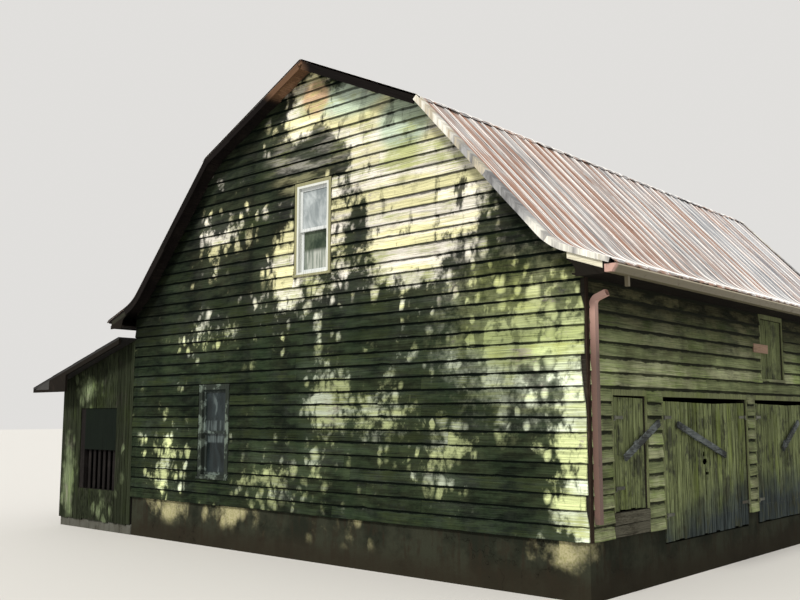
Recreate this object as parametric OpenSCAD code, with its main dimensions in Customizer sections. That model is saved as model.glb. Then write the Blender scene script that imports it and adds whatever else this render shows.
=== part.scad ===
/* [Barn] */
// Width of the gable wall over its boards
barn_w = 10480; // [10000:10:11400]
// Length of the side walls over their boards
barn_l = 11800; // [11400:10:13000]
// Height of the wall plates above the sills
wall_h = 3430; // [3410:10:3700]
// Thickness of a framed and clapboarded wall
wall_t = 140; // [110:5:170]
// Depth of the foundation below the sills, down to the lowest ground
foundation_h = 750; // [700:10:900]
// Thickness of the foundation walls
foundation_t = 300; // [240:10:380]
// Distance that the foundation stands back from the clapboards
foundation_set = 20; // [0:5:40]
// Width of the corner boards
corner_w = 70; // [50:5:75]
// Thickness of the corner boards and casings
trim_t = 20; // [15:1:24]

/* [Roof] */
// Distance of the roof knees in from the side wall faces
knee_in = 2630; // [2450:10:2800]
// Height of the knees above the wall plates
knee_rise = 2970; // [2850:10:3150]
// Height of the ridge above the wall plates
ridge_rise = 4210; // [3900:10:4500]
// Distance past the wall face at which the steep slope's line reaches plate height
heel_out = 90; // [60:5:110]
// Reach of the roof edge past the side wall faces
eave_out = 560; // [540:5:590]
// Height of the roof edge above the wall plates
eave_rise = 118; // [105:1:135]
// Angle of the flared eaves
flare_angle = 20; // [18:0.5:22]
// Radius of the bend between the steep slope and the flare
flare_r = 1000; // [700:50:1200]
// Thickness of the roof boarding with its metal
roof_t = 45; // [35:1:55]
// Reach of the roof past the gable walls
gable_out = 300; // [200:10:380]
// Reach of the ridge cap down each slope
ridge_cap_w = 180; // [120:5:240]
// Thickness of the ridge cap
ridge_cap_t = 5; // [3:1:8]

/* [Roof framing] */
// Depth of the rafters
rafter_d = 150; // [120:5:180]
// Thickness of the gambrel frames
frame_t = 50; // [38:1:70]
// Greatest spacing of the gambrel frames
frame_pitch = 1200; // [900:50:1500]
// Length of the plank gussets along each rafter at the knees and the ridge
gusset = 420; // [300:10:500]
// Clearance between the roof boarding and what carries it
seat = 0.3; // [0.1:0.1:0.5]

/* [Eaves] */
// Reach of the boxed eaves past the side wall faces
box_out = 470; // [440:5:480]
// Thickness of the eave boards
board_t = 25; // [18:1:30]
// Drop of the eave boards below the soffits
fascia_drop = 20; // [10:5:35]
// Depth of the white boards under the flared roof edge at the gables
flare_board_h = 100; // [60:5:105]

/* [Gutter and downspout] */
// Width of the gutter at its top
gutter_w = 160; // [130:5:180]
// Width of the gutter's floor
gutter_floor = 105; // [80:5:120]
// Height of the gutter
gutter_h = 100; // [90:1:125]
// Height of the upright edge along the gutter's front
gutter_lip = 14; // [10:1:20]
// Wall of the gutter and the downspout
sheet_t = 3; // [2:0.5:4]
// Distance of the gutter's top below the roof edge
gutter_drop = 3; // [2:1:15]
// Distance of the outlet from the front gable wall
outlet_y = 190; // [150:5:300]
// Width of the outlet
outlet_w = 50; // [40:1:70]
// Length of the outlet
outlet_h = 140; // [80:5:180]
// Depth of the downspout away from the wall
pipe_x = 80; // [60:5:95]
// Width of the downspout along the wall
pipe_y = 88; // [60:1:100]
// Gap between the downspout and the wall, filled by its straps
pipe_gap = 25; // [15:1:40]
// Distance of the downspout from the corner
pipe_from_corner = 75; // [72:1:100]
// Height of the downspout's foot above the sills
pipe_foot = 230; // [150:10:400]
// Height of the bend at the downspout's head
pipe_head = 3060; // [2900:10:3100]
// Radius of the bend at the downspout's head
pipe_bend = 130; // [110:5:160]
// Angle of the open head above the level
pipe_rise = 20; // [0:1:30]
// Length of the open head past its bend
pipe_reach = 150; // [60:5:200]
// Distance of the outer straps from the downspout's foot and bend
pipe_strap_in = 150; // [100:10:300]

/* [Windows] */
// Width of the window openings
window_w = 760; // [700:10:850]
// Height of the upper windows
window_h = 1530; // [1400:10:1600]
// Height of the upper window sills above the barn's sill
window_z = 4000; // [3900:10:4200]
// Distance of the upper windows from the middle of the gable
window_x = 30; // [0:10:100]
// Height of the lower windows
low_window_h = 1620; // [1500:10:1640]
// Height of the lower window sills above the barn's sill
low_window_z = 500; // [420:10:520]
// Distance of the lower windows from the left side wall
low_window_x = 2280; // [2000:10:2600]
// Width of the window casings
window_casing = 65; // [50:5:90]
// Depth of the window frames into the wall
window_depth = 110; // [100:1:130]
// Face width of the window frames
window_frame = 32; // [25:1:40]
// Face width of the sash stiles and rails
sash_w = 52; // [40:1:60]
// Thickness of a sash
sash_t = 35; // [28:1:38]
// Thickness of the glass
glass_t = 4; // [3:1:6]
// Room behind the inner sashes
sash_back = 10; // [5:1:20]
// Reach of the window sills past the clapboards
sill_out = 45; // [30:1:60]
// Height of the window sills
sill_h = 45; // [30:1:60]

/* [Doors] */
// Distance of the small door's opening from the front
small_door_y = 660; // [650:5:700]
// Width of the small door's opening
small_door_w = 880; // [850:5:900]
// Height of the small door's threshold above the sills
small_door_z = 330; // [250:5:400]
// Distance of the first barn doors' opening from the front
door_1_y = 2120; // [2080:5:2160]
// Width of the first barn doors' opening
door_1_w = 3040; // [2950:5:3060]
// Width of the left leaf of the first barn doors
door_1_leaf = 1714; // [1650:1:1730]
// Distance of the second barn doors' opening from the front
door_2_y = 5600; // [5580:5:5650]
// Width of the second barn doors' opening
door_2_w = 3000; // [2900:5:3050]
// Width of the left leaf of the second barn doors
door_2_leaf = 1480; // [1440:1:1500]
// Height of the door heads above the sills
door_head = 1880; // [1800:5:1900]
// Depth of the barn doors' thresholds below the sills
door_sill = 220; // [150:5:300]
// Gap between the barn doors' tops and their head
head_gap = 60; // [20:1:70]
// Gap under a door
foot_gap = 20; // [10:1:30]
// Gap between a door and its jambs
jamb_gap = 7; // [6:0.5:10]
// Gap between the two leaves of a pair
seam_gap = 10; // [9:0.5:14]
// Thickness of the door boards
door_t = 30; // [22:1:38]
// Thickness of the ledges and braces on the doors' inner faces
ledge_t = 25; // [20:1:32]
// Width of the ledges and braces
ledge_w = 140; // [100:5:180]
// Width of the casings over the doors
casing_w = 80; // [60:5:85]
// Width of the casings beside the openings
jamb_casing_w = 40; // [30:1:60]
// Width of jamb face left bare beside the casings
reveal = 22; // [18:1:28]
// Radius of the hand hole through the first pair's left leaf
hand_hole_r = 32; // [25:1:40]
// Distance of the hand hole from the left jamb
hand_hole_y = 1400; // [1300:10:1500]
// Height of the hand hole above the sills
hand_hole_z = 900; // [850:10:1000]
// Length of the hand slot under the hand hole
hand_slot = 120; // [80:5:150]

/* [Hinges and bars] */
// Length of a hinge strap
strap_l = 260; // [200:10:320]
// Width of a hinge strap
strap_w = 45; // [35:1:60]
// Thickness of a hinge strap
strap_t = 6; // [5:1:8]
// Outer radius of a hinge's barrel
barrel_r = 14; // [13:0.5:16]
// Height of a hinge's barrel
barrel_h = 60; // [50:1:80]
// Height of the arm that carries a hinge pin
arm_h = 12; // [8:1:16]
// Radius of a hinge pin
pin_r = 8; // [6:0.5:8.5]
// Clearance of the hinge pin in its barrel
pin_gap = 0.3; // [0.1:0.1:0.5]
// Distance of a hinge pin in from the edge of its door
pin_in = 16; // [15:0.5:18]
// Height of the upper hinges above the sills
hinge_top = 1560; // [1500:5:1620]
// Height of the lower barn door hinges above the sills
hinge_low = 160; // [120:5:250]
// Height of the small door's lower hinge above the sills
small_hinge_low = 620; // [550:5:700]
// Width of the diagonal bars
bar_w = 95; // [70:5:120]
// Thickness of the diagonal bars
bar_t = 32; // [25:1:40]
// Clearance of the diagonal bars over the casings
bar_gap = 6; // [5:0.5:8]
// Distance of the small door's bar from its hinge edge
small_bar_in = 220; // [150:10:300]
// Reach of the small door's bar past the opening
small_bar_out = 370; // [300:10:400]
// Depth of the small bar's near end below the upper hinges
small_bar_near = 520; // [450:10:600]
// Depth of the small bar's far end below the upper hinges
small_bar_far = 50; // [20:5:100]
// Distance of the small bar's bolt from its near end
small_bolt = 420; // [300:10:480]
// Distance of the first pair's bar from its hinge edge
bar_1_in = 390; // [320:10:500]
// Reach of the first pair's bar past the left leaf
bar_1_out = 356; // [250:1:400]
// Depth of the first bar's near end below the upper hinges
bar_1_near = 80; // [20:5:140]
// Depth of the first bar's far end below the upper hinges
bar_1_far = 580; // [500:10:650]
// Distance of the first bar's bolt from its near end
bolt_1 = 700; // [400:10:900]
// Reach of the second pair's bar over its left leaf
bar_2_in = 330; // [280:5:400]
// Reach of the second pair's bar past the left leaf
bar_2_out = 520; // [400:10:600]
// Depth of the second bar's near end below the upper hinges
bar_2_near = 550; // [480:10:650]
// Depth of the second bar's far end below the upper hinges
bar_2_far = 70; // [20:5:140]
// Distance of the second bar's bolt from its near end
bolt_2 = 200; // [120:5:260]

/* [Loft] */
// Height of the loft floor above the sills
loft_z = 2235; // [2200:5:2240]
// Thickness of the loft floor's boards
loft_t = 35; // [25:1:40]
// Depth of the loft joists
joist_d = 180; // [150:5:200]
// Thickness of the loft joists
joist_t = 50; // [40:1:70]
// Greatest spacing of the loft joists
joist_pitch = 750; // [500:50:900]
// Depth of the girder under the joists
girder_d = 240; // [200:5:280]
// Width of the girder and its posts
post_w = 200; // [160:5:240]
// Number of posts under the girder
posts = 3; // [2:1:4]
// Distance of the loft shutter's opening from the front
shutter_y = 6000; // [5900:10:6200]
// Width of the loft shutter
shutter_w = 1000; // [900:10:1100]
// Height of the loft shutter's sill above the barn's sills
shutter_z = 2260; // [2250:5:2300]
// Height of the loft shutter
shutter_h = 1070; // [1000:5:1080]
// Thickness of the loft shutter
shutter_t = 40; // [30:1:50]

/* [Lean-to] */
// Width of the lean-to
lean_w = 2760; // [2600:10:3000]
// Thickness of the lean-to's walls
lean_t = 100; // [80:5:120]
// Thickness of the lean-to's foundation walls
lean_foundation_t = 200; // [160:10:240]
// Depth of the lean-to's sills below the barn's sills
lean_sill = 550; // [500:10:600]
// Height of the lean-to's roof at the barn above the sills
lean_top = 3180; // [3150:5:3240]
// Slope of the lean-to's roof
lean_angle = 15.5; // [15:0.25:16.5]
// Reach of the lean-to's roof past its side wall
lean_out = 700; // [600:10:750]
// Reach of the lean-to's roof past its end walls
lean_end = 400; // [390:5:480]
// Thickness of the lean-to's roof
lean_roof_t = 35; // [25:1:45]
// Depth of the lean-to's rafters
lean_rafter_d = 90; // [70:5:110]
// Depth of the level ties out to the lean-to's eave
lean_tie_d = 60; // [45:5:80]
// Distance of the lean-to's opening from the barn's corner
hatch_x = 610; // [550:5:700]
// Width of the lean-to's opening
hatch_w = 1240; // [1150:5:1300]
// Height of the opening's sill above the barn's sills
hatch_z = 80; // [50:5:120]
// Height of the lean-to's opening
hatch_h = 1690; // [1600:5:1750]
// Height of the dark panel that closes the opening's upper part
panel_h = 870; // [800:5:950]
// Thickness of the dark panel
panel_t = 30; // [20:1:40]
// Width of the upright slats in the opening's lower part
slat_w = 90; // [60:5:110]
// Number of the slats
slats = 6; // [4:1:7]

/* [Hidden] */
$fn = 32;

// Barn frame: X from the middle of the gable, Y back from the front wall, Z up from the sills
half_w = barn_w / 2;
soffit_z = wall_h - trim_t;
lean_face = half_w + lean_w;
reach_left = lean_face + lean_out;
reach_right = half_w + box_out + gutter_w;
origin = [(reach_left - reach_right) / 2, -barn_l / 2, foundation_h];

// Roof line of the right half, from the ridge down to the eave
upper_a = atan2(ridge_rise - knee_rise, half_w - knee_in);
lower_a = atan2(knee_rise, knee_in + heel_out);
ridge = [0, wall_h + ridge_rise];
knee = [half_w - knee_in, wall_h + knee_rise];
edge = [half_w + eave_out, wall_h + eave_rise];
bell_x = (knee.y + tan(lower_a) * knee.x - edge.y - tan(flare_angle) * edge.x)
    / (tan(lower_a) - tan(flare_angle));
bell = [bell_x, edge.y + tan(flare_angle) * (edge.x - bell_x)];
bell_tangent = flare_r * tan((lower_a - flare_angle) / 2);
bell_centre = bell + bell_tangent * [-cos(lower_a), sin(lower_a)]
    + flare_r * [sin(lower_a), cos(lower_a)];
bell_steps = 8;

function outward(a) = [sin(a), cos(a)];
function mitre(a, b) = (outward(a) + outward(b)) / (1 + outward(a) * outward(b));
function bell_angle(i) = lower_a + (flare_angle - lower_a) * i / bell_steps;
function ridge_at(d) = ridge - [0, d / cos(upper_a)];
function knee_at(d) = knee - d * mitre(upper_a, lower_a);
function bell_at(d) = [for (i = [0:bell_steps]) bell_centre - (flare_r + d) * outward(bell_angle(i))];
function edge_at(d) = edge - [0, d / cos(flare_angle)];
function flare_z(x, d) = edge_at(d).y + tan(flare_angle) * (edge.x - x);
function roof_line(d) = concat([ridge_at(d), knee_at(d)], bell_at(d), [edge_at(d)]);
function reversed(list) = [for (i = [len(list) - 1:-1:0]) list[i]];
function flipped(list) = [for (p = list) [-p.x, p.y]];

// Inner edge of the steep rafters and the point where it meets the plates
frame_under = roof_t + rafter_d;
heel_in = [
    knee_at(frame_under).x + (knee_at(frame_under).y - wall_h) / tan(lower_a),
    wall_h
];

inner_l = barn_l - 2 * wall_t;
joist_z = loft_z - loft_t - joist_d;
girder_z = joist_z - girder_d;
leaf_1_right = door_1_w - 2 * jamb_gap - seam_gap - door_1_leaf;
leaf_2_right = door_2_w - 2 * jamb_gap - seam_gap - door_2_leaf;
leaf_z = foot_gap - door_sill;
leaf_h = door_head - head_gap - leaf_z;
small_leaf_z = small_door_z + foot_gap / 2;
small_leaf_h = door_head - foot_gap - small_leaf_z;
bar_out = trim_t + bar_gap;

// Drawings are made upright in X and Z, or in Y and Z, and then given their thickness
module across(y, t) {
    translate([0, y + t, 0]) rotate([90, 0, 0]) linear_extrude(height = t) children();
}

module along(x, t) {
    translate([x, 0, 0]) rotate([90, 0, 90]) linear_extrude(height = t) children();
}

module block(low, high) {
    translate(low) cube(high - low);
}

module place() {
    translate(origin) children();
}

module both_ends() {
    children();
    translate([0, barn_l, 0]) mirror([0, 1, 0]) children();
}

module both_sides() {
    children();
    mirror([1, 0, 0]) children();
}

// Foundation
f_out = half_w - foundation_set;
f_in = f_out - foundation_t;
f_end = foundation_set + foundation_t;

module foundation_front() {
    color("khaki")
        block([-f_out, foundation_set, -foundation_h], [f_out, f_end, 0]);
}

module foundation_back() {
    translate([0, barn_l, 0]) mirror([0, 1, 0]) foundation_front();
}

module foundation_left() {
    color("khaki")
        block([-f_out, f_end, -foundation_h], [-f_in, barn_l - f_end, 0]);
}

module foundation_right() {
    color("khaki") difference() {
        block([f_in, f_end, -foundation_h], [f_out, barn_l - f_end, 0]);
        block([f_in - 1, door_1_y, -door_sill], [f_out + 1, door_1_y + door_1_w, 1]);
        block([f_in - 1, door_2_y, -door_sill], [f_out + 1, door_2_y + door_2_w, 1]);
    }
}

// Walls
module gable_area() {
    line = roof_line(roof_t);
    polygon(concat(line, [[edge.x, 0], [-edge.x, 0]], reversed(flipped(line))));
}

module window_holes(y) {
    for (w = windows)
        block([w[0], y - 1, w[1]], [w[0] + window_w, y + wall_t + 1, w[1] + w[2]]);
}

// Left edge, sill height and height of each window of a gable
windows = [
    [window_x - window_w / 2, window_z, window_h],
    [low_window_x - half_w, low_window_z, low_window_h],
];

module front_gable_wall() {
    color("palegoldenrod") difference() {
        intersection() {
            across(0, wall_t) gable_area();
            block([-half_w, -1, 0], [half_w, wall_t + 1, ridge.y]);
        }
        window_holes(0);
    }
}

module back_gable_wall() {
    translate([0, barn_l, 0]) mirror([0, 1, 0]) front_gable_wall();
}

module left_wall() {
    color("darkolivegreen")
        block([-half_w, wall_t, 0], [-half_w + wall_t, barn_l - wall_t, wall_h]);
}

module right_wall(y0, y1, z0, z1) {
    color("darkolivegreen")
        block([half_w - wall_t, y0, z0], [half_w, y1, z1]);
}

module right_wall_front() {
    right_wall(wall_t, small_door_y, 0, door_head);
}

module right_wall_under_door() {
    right_wall(small_door_y, small_door_y + small_door_w, 0, small_door_z);
}

module right_wall_piers() {
    right_wall(small_door_y + small_door_w, door_1_y, 0, door_head);
    right_wall(door_1_y + door_1_w, door_2_y, 0, door_head);
}

module right_wall_back() {
    right_wall(door_2_y + door_2_w, barn_l - wall_t, 0, door_head);
}

module right_wall_upper() {
    color("darkolivegreen") difference() {
        block([half_w - wall_t, wall_t, door_head], [half_w, barn_l - wall_t, wall_h]);
        block([half_w - wall_t - 1, shutter_y, shutter_z],
            [half_w + 1, shutter_y + shutter_w, shutter_z + shutter_h]);
    }
}

// Corner boards on the side wall, whose edges the gables' clapboards cover
module corner_boards() {
    color("saddlebrown") both_ends()
        block([half_w, 0, 0], [half_w + trim_t, corner_w, soffit_z]);
}

// Casing boards beside and over an opening in the right wall
module casing(y, w, z0, z1, top) {
    inner_low = y - reveal;
    inner_high = y + w + reveal;
    outer_low = inner_low - jamb_casing_w;
    outer_high = inner_high + jamb_casing_w;
    along(half_w, trim_t) difference() {
        translate([outer_low, z0]) square([outer_high - outer_low, top - z0]);
        translate([inner_low, z0 - 1]) square([inner_high - inner_low, z1 - z0 + 1]);
    }
}

module opening_casings() {
    color("olivedrab") {
        casing(small_door_y, small_door_w, small_door_z, door_head, door_head + casing_w);
        casing(door_1_y, door_1_w, 0, door_head, door_head + casing_w);
        casing(door_2_y, door_2_w, 0, door_head, door_head + casing_w);
        casing(shutter_y, shutter_w, shutter_z, shutter_z + shutter_h, soffit_z);
    }
}

module loft_shutter() {
    color("olive")
        block([half_w - shutter_t, shutter_y, shutter_z],
            [half_w, shutter_y + shutter_w, shutter_z + shutter_h]);
}

// Loft
module loft_floor() {
    color("tan")
        block([-half_w + wall_t, wall_t, loft_z - loft_t],
            [half_w - wall_t, barn_l - wall_t, loft_z]);
}

module loft_joists() {
    spaces = ceil(inner_l / joist_pitch);
    color("peru") for (i = [0:spaces]) {
        y = wall_t + i * (inner_l - joist_t) / spaces;
        block([-half_w + wall_t, y, joist_z], [half_w - wall_t, y + joist_t, loft_z - loft_t]);
    }
}

module loft_girder() {
    color("sienna")
        block([-post_w / 2, wall_t, girder_z], [post_w / 2, barn_l - wall_t, joist_z]);
}

module loft_posts() {
    color("sienna") for (i = [1:posts]) {
        y = barn_l * i / (posts + 1);
        block([-post_w / 2, y - post_w / 2, -foundation_h], [post_w / 2, y + post_w / 2, girder_z]);
    }
}

// One gambrel frame: rafters, gussets at the knees and the ridge, and the flared tails
module gambrel_outline() {
    outer = roof_line(roof_t + seat);
    tail_x = half_w + box_out - board_t;
    tail = concat(
        [for (p = outer) if (p.x < tail_x) p],
        [[tail_x, flare_z(tail_x, roof_t + seat)], [tail_x, wall_h], heel_in]
    );
    inner = [knee_at(frame_under), ridge_at(frame_under)];
    half = concat(tail, inner);
    polygon(half);
    polygon(flipped(half));
    gussets();
}

// Three plank gussets, each cut along the rafters' inner edges
module gussets() {
    upper = [cos(upper_a), -sin(upper_a)];
    lower = [cos(lower_a), -sin(lower_a)];
    top = ridge_at(frame_under);
    bend = knee_at(frame_under);
    polygon([top, top + gusset * upper, top + gusset * [-upper.x, upper.y]]);
    polygon([bend, bend - gusset * upper, bend + gusset * lower]);
    polygon(flipped([bend, bend - gusset * upper, bend + gusset * lower]));
}

module gambrel_frames() {
    spaces = ceil(inner_l / frame_pitch);
    color("burlywood") for (i = [1:spaces - 1])
        across(wall_t + i * inner_l / spaces - frame_t / 2, frame_t) gambrel_outline();
}

// Roof, made of slabs that meet at mitred edges
module roof_slab(first, last) {
    top = roof_line(0);
    under = roof_line(roof_t);
    across(-gable_out, barn_l + 2 * gable_out)
        polygon(concat(
            [for (i = [first:last]) top[i]],
            [for (i = [last:-1:first]) under[i]]
        ));
}

module roof_upper_right() {
    color("lightgray") roof_slab(0, 1);
}

module roof_upper_left() {
    mirror([1, 0, 0]) roof_upper_right();
}

module roof_lower_right() {
    color("lightgray") roof_slab(1, 2);
}

module roof_lower_left() {
    mirror([1, 0, 0]) roof_lower_right();
}

module eave_flare_right() {
    color("lightgray") roof_slab(2, bell_steps + 3);
}

module eave_flare_left() {
    mirror([1, 0, 0]) eave_flare_right();
}

module ridge_cap() {
    wing = ridge_cap_w * [cos(upper_a), -sin(upper_a)];
    lift = [0, ridge_cap_t / cos(upper_a)];
    color("silver") across(-gable_out, barn_l + 2 * gable_out)
        polygon([
            ridge, ridge + wing, ridge + wing + lift, ridge + lift,
            ridge + [-wing.x, wing.y] + lift, ridge + [-wing.x, wing.y]
        ]);
}

// Boxed eaves
module eave_soffits() {
    color("saddlebrown") both_sides()
        block([half_w, -gable_out, soffit_z],
            [half_w + box_out - board_t, barn_l + gable_out, wall_h]);
}

module eave_boards() {
    low = soffit_z - fascia_drop;
    inside = half_w + box_out - board_t;
    outside = half_w + box_out;
    color("saddlebrown") both_sides() across(-gable_out, barn_l + 2 * gable_out)
        polygon([
            [inside, low], [outside, low],
            [outside, flare_z(outside, roof_t + seat)], [inside, flare_z(inside, roof_t + seat)]
        ]);
}

module flare_boards() {
    from = half_w - corner_w;
    to = half_w + box_out - board_t;
    top = roof_t + seat;
    color("whitesmoke") both_sides() both_ends() across(-gable_out, board_t)
        polygon([
            [from, flare_z(from, top)], [to, flare_z(to, top)],
            [to, max(wall_h, flare_z(to, top) - flare_board_h)],
            [from, flare_z(from, top) - flare_board_h]
        ]);
}

// Gutter
gutter_x = half_w + box_out;
gutter_top = edge_at(roof_t).y - gutter_drop;
gutter_low = gutter_top - gutter_h;

// Ogee outline of the gutter, from the back edge round to the upright front edge
module gutter_outline(t) {
    steps = 5;
    front = [
        for (i = [0:steps]) let (f = i / steps)
            [gutter_floor + (gutter_w - gutter_floor) * (1 - cos(180 * f)) / 2 - t,
             t + (gutter_h - gutter_lip - t) * f]
    ];
    polygon(concat(
        [[t, t]], front,
        [[gutter_w - t, gutter_h - gutter_lip], [gutter_w - t, gutter_h + t], [t, gutter_h + t]]
    ));
}

module gutter() {
    outlet_x = gutter_floor / 2;
    r = outlet_w / 2;
    bore = r - sheet_t;
    color("rosybrown") translate([gutter_x, 0, gutter_low]) difference() {
        union() {
            across(-gable_out, barn_l + 2 * gable_out) intersection() {
                gutter_outline(0);
                square([gutter_w, gutter_h]);
            }
            block([outlet_x - r, outlet_y - r, -outlet_h], [outlet_x + r, outlet_y + r, sheet_t]);
        }
        across(-gable_out + sheet_t, barn_l + 2 * gable_out - 2 * sheet_t)
            gutter_outline(sheet_t);
        block([outlet_x - bore, outlet_y - bore, -outlet_h - 1],
            [outlet_x + bore, outlet_y + bore, 2 * sheet_t]);
    }
}

// Downspout with an open head that once met the gutter's outlet
module pipe_outline(t) {
    r = pipe_bend;
    turn = 90 - pipe_rise;
    steps = 6;
    centre = [r, pipe_head];
    far = pipe_reach * [cos(pipe_rise), sin(pipe_rise)];
    far_out = centre + (r - t) * [-sin(pipe_rise), cos(pipe_rise)];
    near = r - pipe_x + t;
    outer = [for (i = [0:steps]) centre - (r - t) * [cos(turn * i / steps), -sin(turn * i / steps)]];
    inner = [for (i = [steps:-1:0]) centre - near * [cos(turn * i / steps), -sin(turn * i / steps)]];
    polygon(concat(
        [[t, pipe_foot]], outer, [far_out + far],
        [centre + near * [-sin(pipe_rise), cos(pipe_rise)] + far], inner,
        [[pipe_x - t, pipe_foot]]
    ));
}

module downspout() {
    low = pipe_foot + pipe_strap_in;
    high = pipe_head - pipe_strap_in;
    color("rosybrown") {
        translate([half_w + pipe_gap, 0, 0]) difference() {
            across(pipe_from_corner, pipe_y) pipe_outline(0);
            across(pipe_from_corner + sheet_t, pipe_y - 2 * sheet_t) pipe_outline(sheet_t);
            block([sheet_t, pipe_from_corner + sheet_t, pipe_foot - 1],
                [pipe_x - sheet_t, pipe_from_corner + pipe_y - sheet_t, pipe_foot + 1]);
            translate([pipe_bend, 0, pipe_head]) rotate([0, -pipe_rise, 0])
                block([pipe_reach - 1, pipe_from_corner + sheet_t, pipe_bend - pipe_x + sheet_t],
                    [pipe_reach + 1, pipe_from_corner + pipe_y - sheet_t, pipe_bend - sheet_t]);
        }
        for (z = [low, (low + high) / 2, high])
            block([half_w, pipe_from_corner + pipe_y / 4, z],
                [half_w + pipe_gap, pipe_from_corner + pipe_y * 3 / 4, z + strap_w]);
    }
}

// Windows
module window_frame_at(w) {
    x = w[0];
    z = w[1];
    h = w[2];
    difference() {
        union() {
            block([x, -trim_t, z], [x + window_w, window_depth, z + h]);
            block([x - window_casing, -trim_t, z],
                [x + window_w + window_casing, 0, z + h + window_casing]);
            block([x - window_casing - trim_t, -sill_out, z - sill_h],
                [x + window_w + window_casing + trim_t, 0, z]);
        }
        block([x + window_frame, -sill_out - 1, z + window_frame],
            [x + window_w - window_frame, window_depth + 1, z + h - window_frame]);
    }
}

module window_frames() {
    color("white") both_ends() for (w = windows) window_frame_at(w);
}

// Depth of the two sashes' outer faces behind the clapboards
sash_out = window_depth - 2 * sash_t - sash_back;
sash_in = sash_out + sash_t;

module sash(x, z, w, h, y) {
    block([x, y, z], [x + w, y + sash_t, z + h]);
}

module sash_pair(w, glazed) {
    x = w[0] + window_frame;
    z = w[1] + window_frame;
    wide = window_w - 2 * window_frame;
    high = w[2] - 2 * window_frame;
    half = (high + sash_w) / 2;
    for (s = [[z, sash_in], [z + high - half, sash_out]]) {
        pane_low = [x + sash_w, s[1] + (sash_t - glass_t) / 2, s[0] + sash_w];
        pane_high = [x + wide - sash_w, s[1] + (sash_t + glass_t) / 2, s[0] + half - sash_w];
        if (glazed) block(pane_low, pane_high);
        else difference() {
            sash(x, s[0], wide, half, s[1]);
            block([pane_low.x, s[1] - 1, pane_low.z], [pane_high.x, s[1] + sash_t + 1, pane_high.z]);
        }
    }
}

module window_sashes() {
    color("white") both_ends() for (w = windows) sash_pair(w, false);
}

module window_glass() {
    color("lightsteelblue") both_ends() for (w = windows) sash_pair(w, true);
}

// Lean-to: heights on its roof, d below the roof's top, at a distance x left of the barn
function lean_z(x, d) = lean_top - x * tan(lean_angle) - d / cos(lean_angle);

module lean_side() {
    mirror([1, 0, 0]) translate([half_w, 0, 0]) children();
}

module lean_to_foundation() {
    out = lean_w - foundation_set;
    wide = lean_foundation_t;
    color("gray") lean_side() difference() {
        block([-foundation_set, foundation_set, -foundation_h],
            [out, barn_l - foundation_set, -lean_sill]);
        block([-foundation_set - 1, foundation_set + wide, -foundation_h - 1],
            [out - wide, barn_l - foundation_set - wide, 0]);
    }
}

module lean_end_wall() {
    lean_side() across(0, lean_t) polygon([
        [0, -lean_sill], [lean_w, -lean_sill],
        [lean_w, lean_z(lean_w, lean_roof_t)], [0, lean_z(0, lean_roof_t)]
    ]);
}

module lean_to_front_wall() {
    color("darkgreen") difference() {
        lean_end_wall();
        lean_side() block([hatch_x, -1, hatch_z], [hatch_x + hatch_w, lean_t + 1, hatch_z + hatch_h]);
    }
}

module lean_to_back_wall() {
    color("darkgreen") translate([0, barn_l, 0]) mirror([0, 1, 0]) lean_end_wall();
}

module lean_to_left_wall() {
    under = lean_roof_t + lean_rafter_d;
    color("darkgreen") lean_side() across(lean_t, barn_l - 2 * lean_t) polygon([
        [lean_w - lean_t, -lean_sill], [lean_w, -lean_sill],
        [lean_w, lean_z(lean_w, under)], [lean_w - lean_t, lean_z(lean_w - lean_t, under)]
    ]);
}

module lean_to_roof() {
    tip = lean_w + lean_out;
    color("slategray") lean_side() across(-lean_end, barn_l + 2 * lean_end) polygon([
        [0, lean_z(0, 0)], [tip, lean_z(tip, 0)],
        [tip, lean_z(tip, lean_roof_t)], [0, lean_z(0, lean_roof_t)]
    ]);
}

// Rafters inside, and at each end a barge rafter with a level tie out to the eave
module lean_to_rafters() {
    under = lean_roof_t + lean_rafter_d;
    spaces = ceil(inner_l / frame_pitch);
    tip = lean_w + lean_out;
    tie_z = lean_z(tip, lean_roof_t);
    tie_low = tie_z - lean_tie_d;
    tie_from = lean_w - lean_out;
    color("saddlebrown") lean_side() {
        for (i = [1:spaces - 1])
            across(wall_t + i * inner_l / spaces - frame_t / 2, frame_t) polygon([
                [0, lean_z(0, lean_roof_t)], [lean_w, lean_z(lean_w, lean_roof_t)],
                [lean_w, lean_z(lean_w, under)], [0, lean_z(0, under)]
            ]);
        both_ends() across(-lean_end, frame_t) polygon([
            [0, lean_z(0, lean_roof_t)], [lean_w, lean_z(lean_w, lean_roof_t)],
            [lean_w, tie_z], [tip, tie_z], [tip, tie_low], [tie_from, tie_low],
            [tie_from, lean_z(tie_from, under)], [0, lean_z(0, under)]
        ]);
    }
}

module lean_to_panel() {
    color("darkslategray") lean_side()
        block([hatch_x, 0, hatch_z + hatch_h - panel_h],
            [hatch_x + hatch_w, panel_t, hatch_z + hatch_h]);
}

module lean_to_slats() {
    gap = (hatch_w - slats * slat_w) / (slats + 1);
    color("dimgray") lean_side() for (i = [0:slats - 1]) {
        x = hatch_x + gap + i * (gap + slat_w);
        block([x, lean_t / 2, hatch_z], [x + slat_w, lean_t / 2 + trim_t, hatch_z + hatch_h - panel_h]);
        block([x, panel_t, hatch_z + hatch_h - panel_h],
            [x + slat_w, lean_t / 2 + trim_t, hatch_z + hatch_h - panel_h + slat_w]);
    }
}

// Doors: a leaf is drawn from its hinge edge at Y = 0, its outer face at X = 0, and set on its hinge side
module hung(y, side) {
    translate([half_w, y, 0]) mirror([0, side < 0 ? 1 : 0, 0]) children();
}

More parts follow.
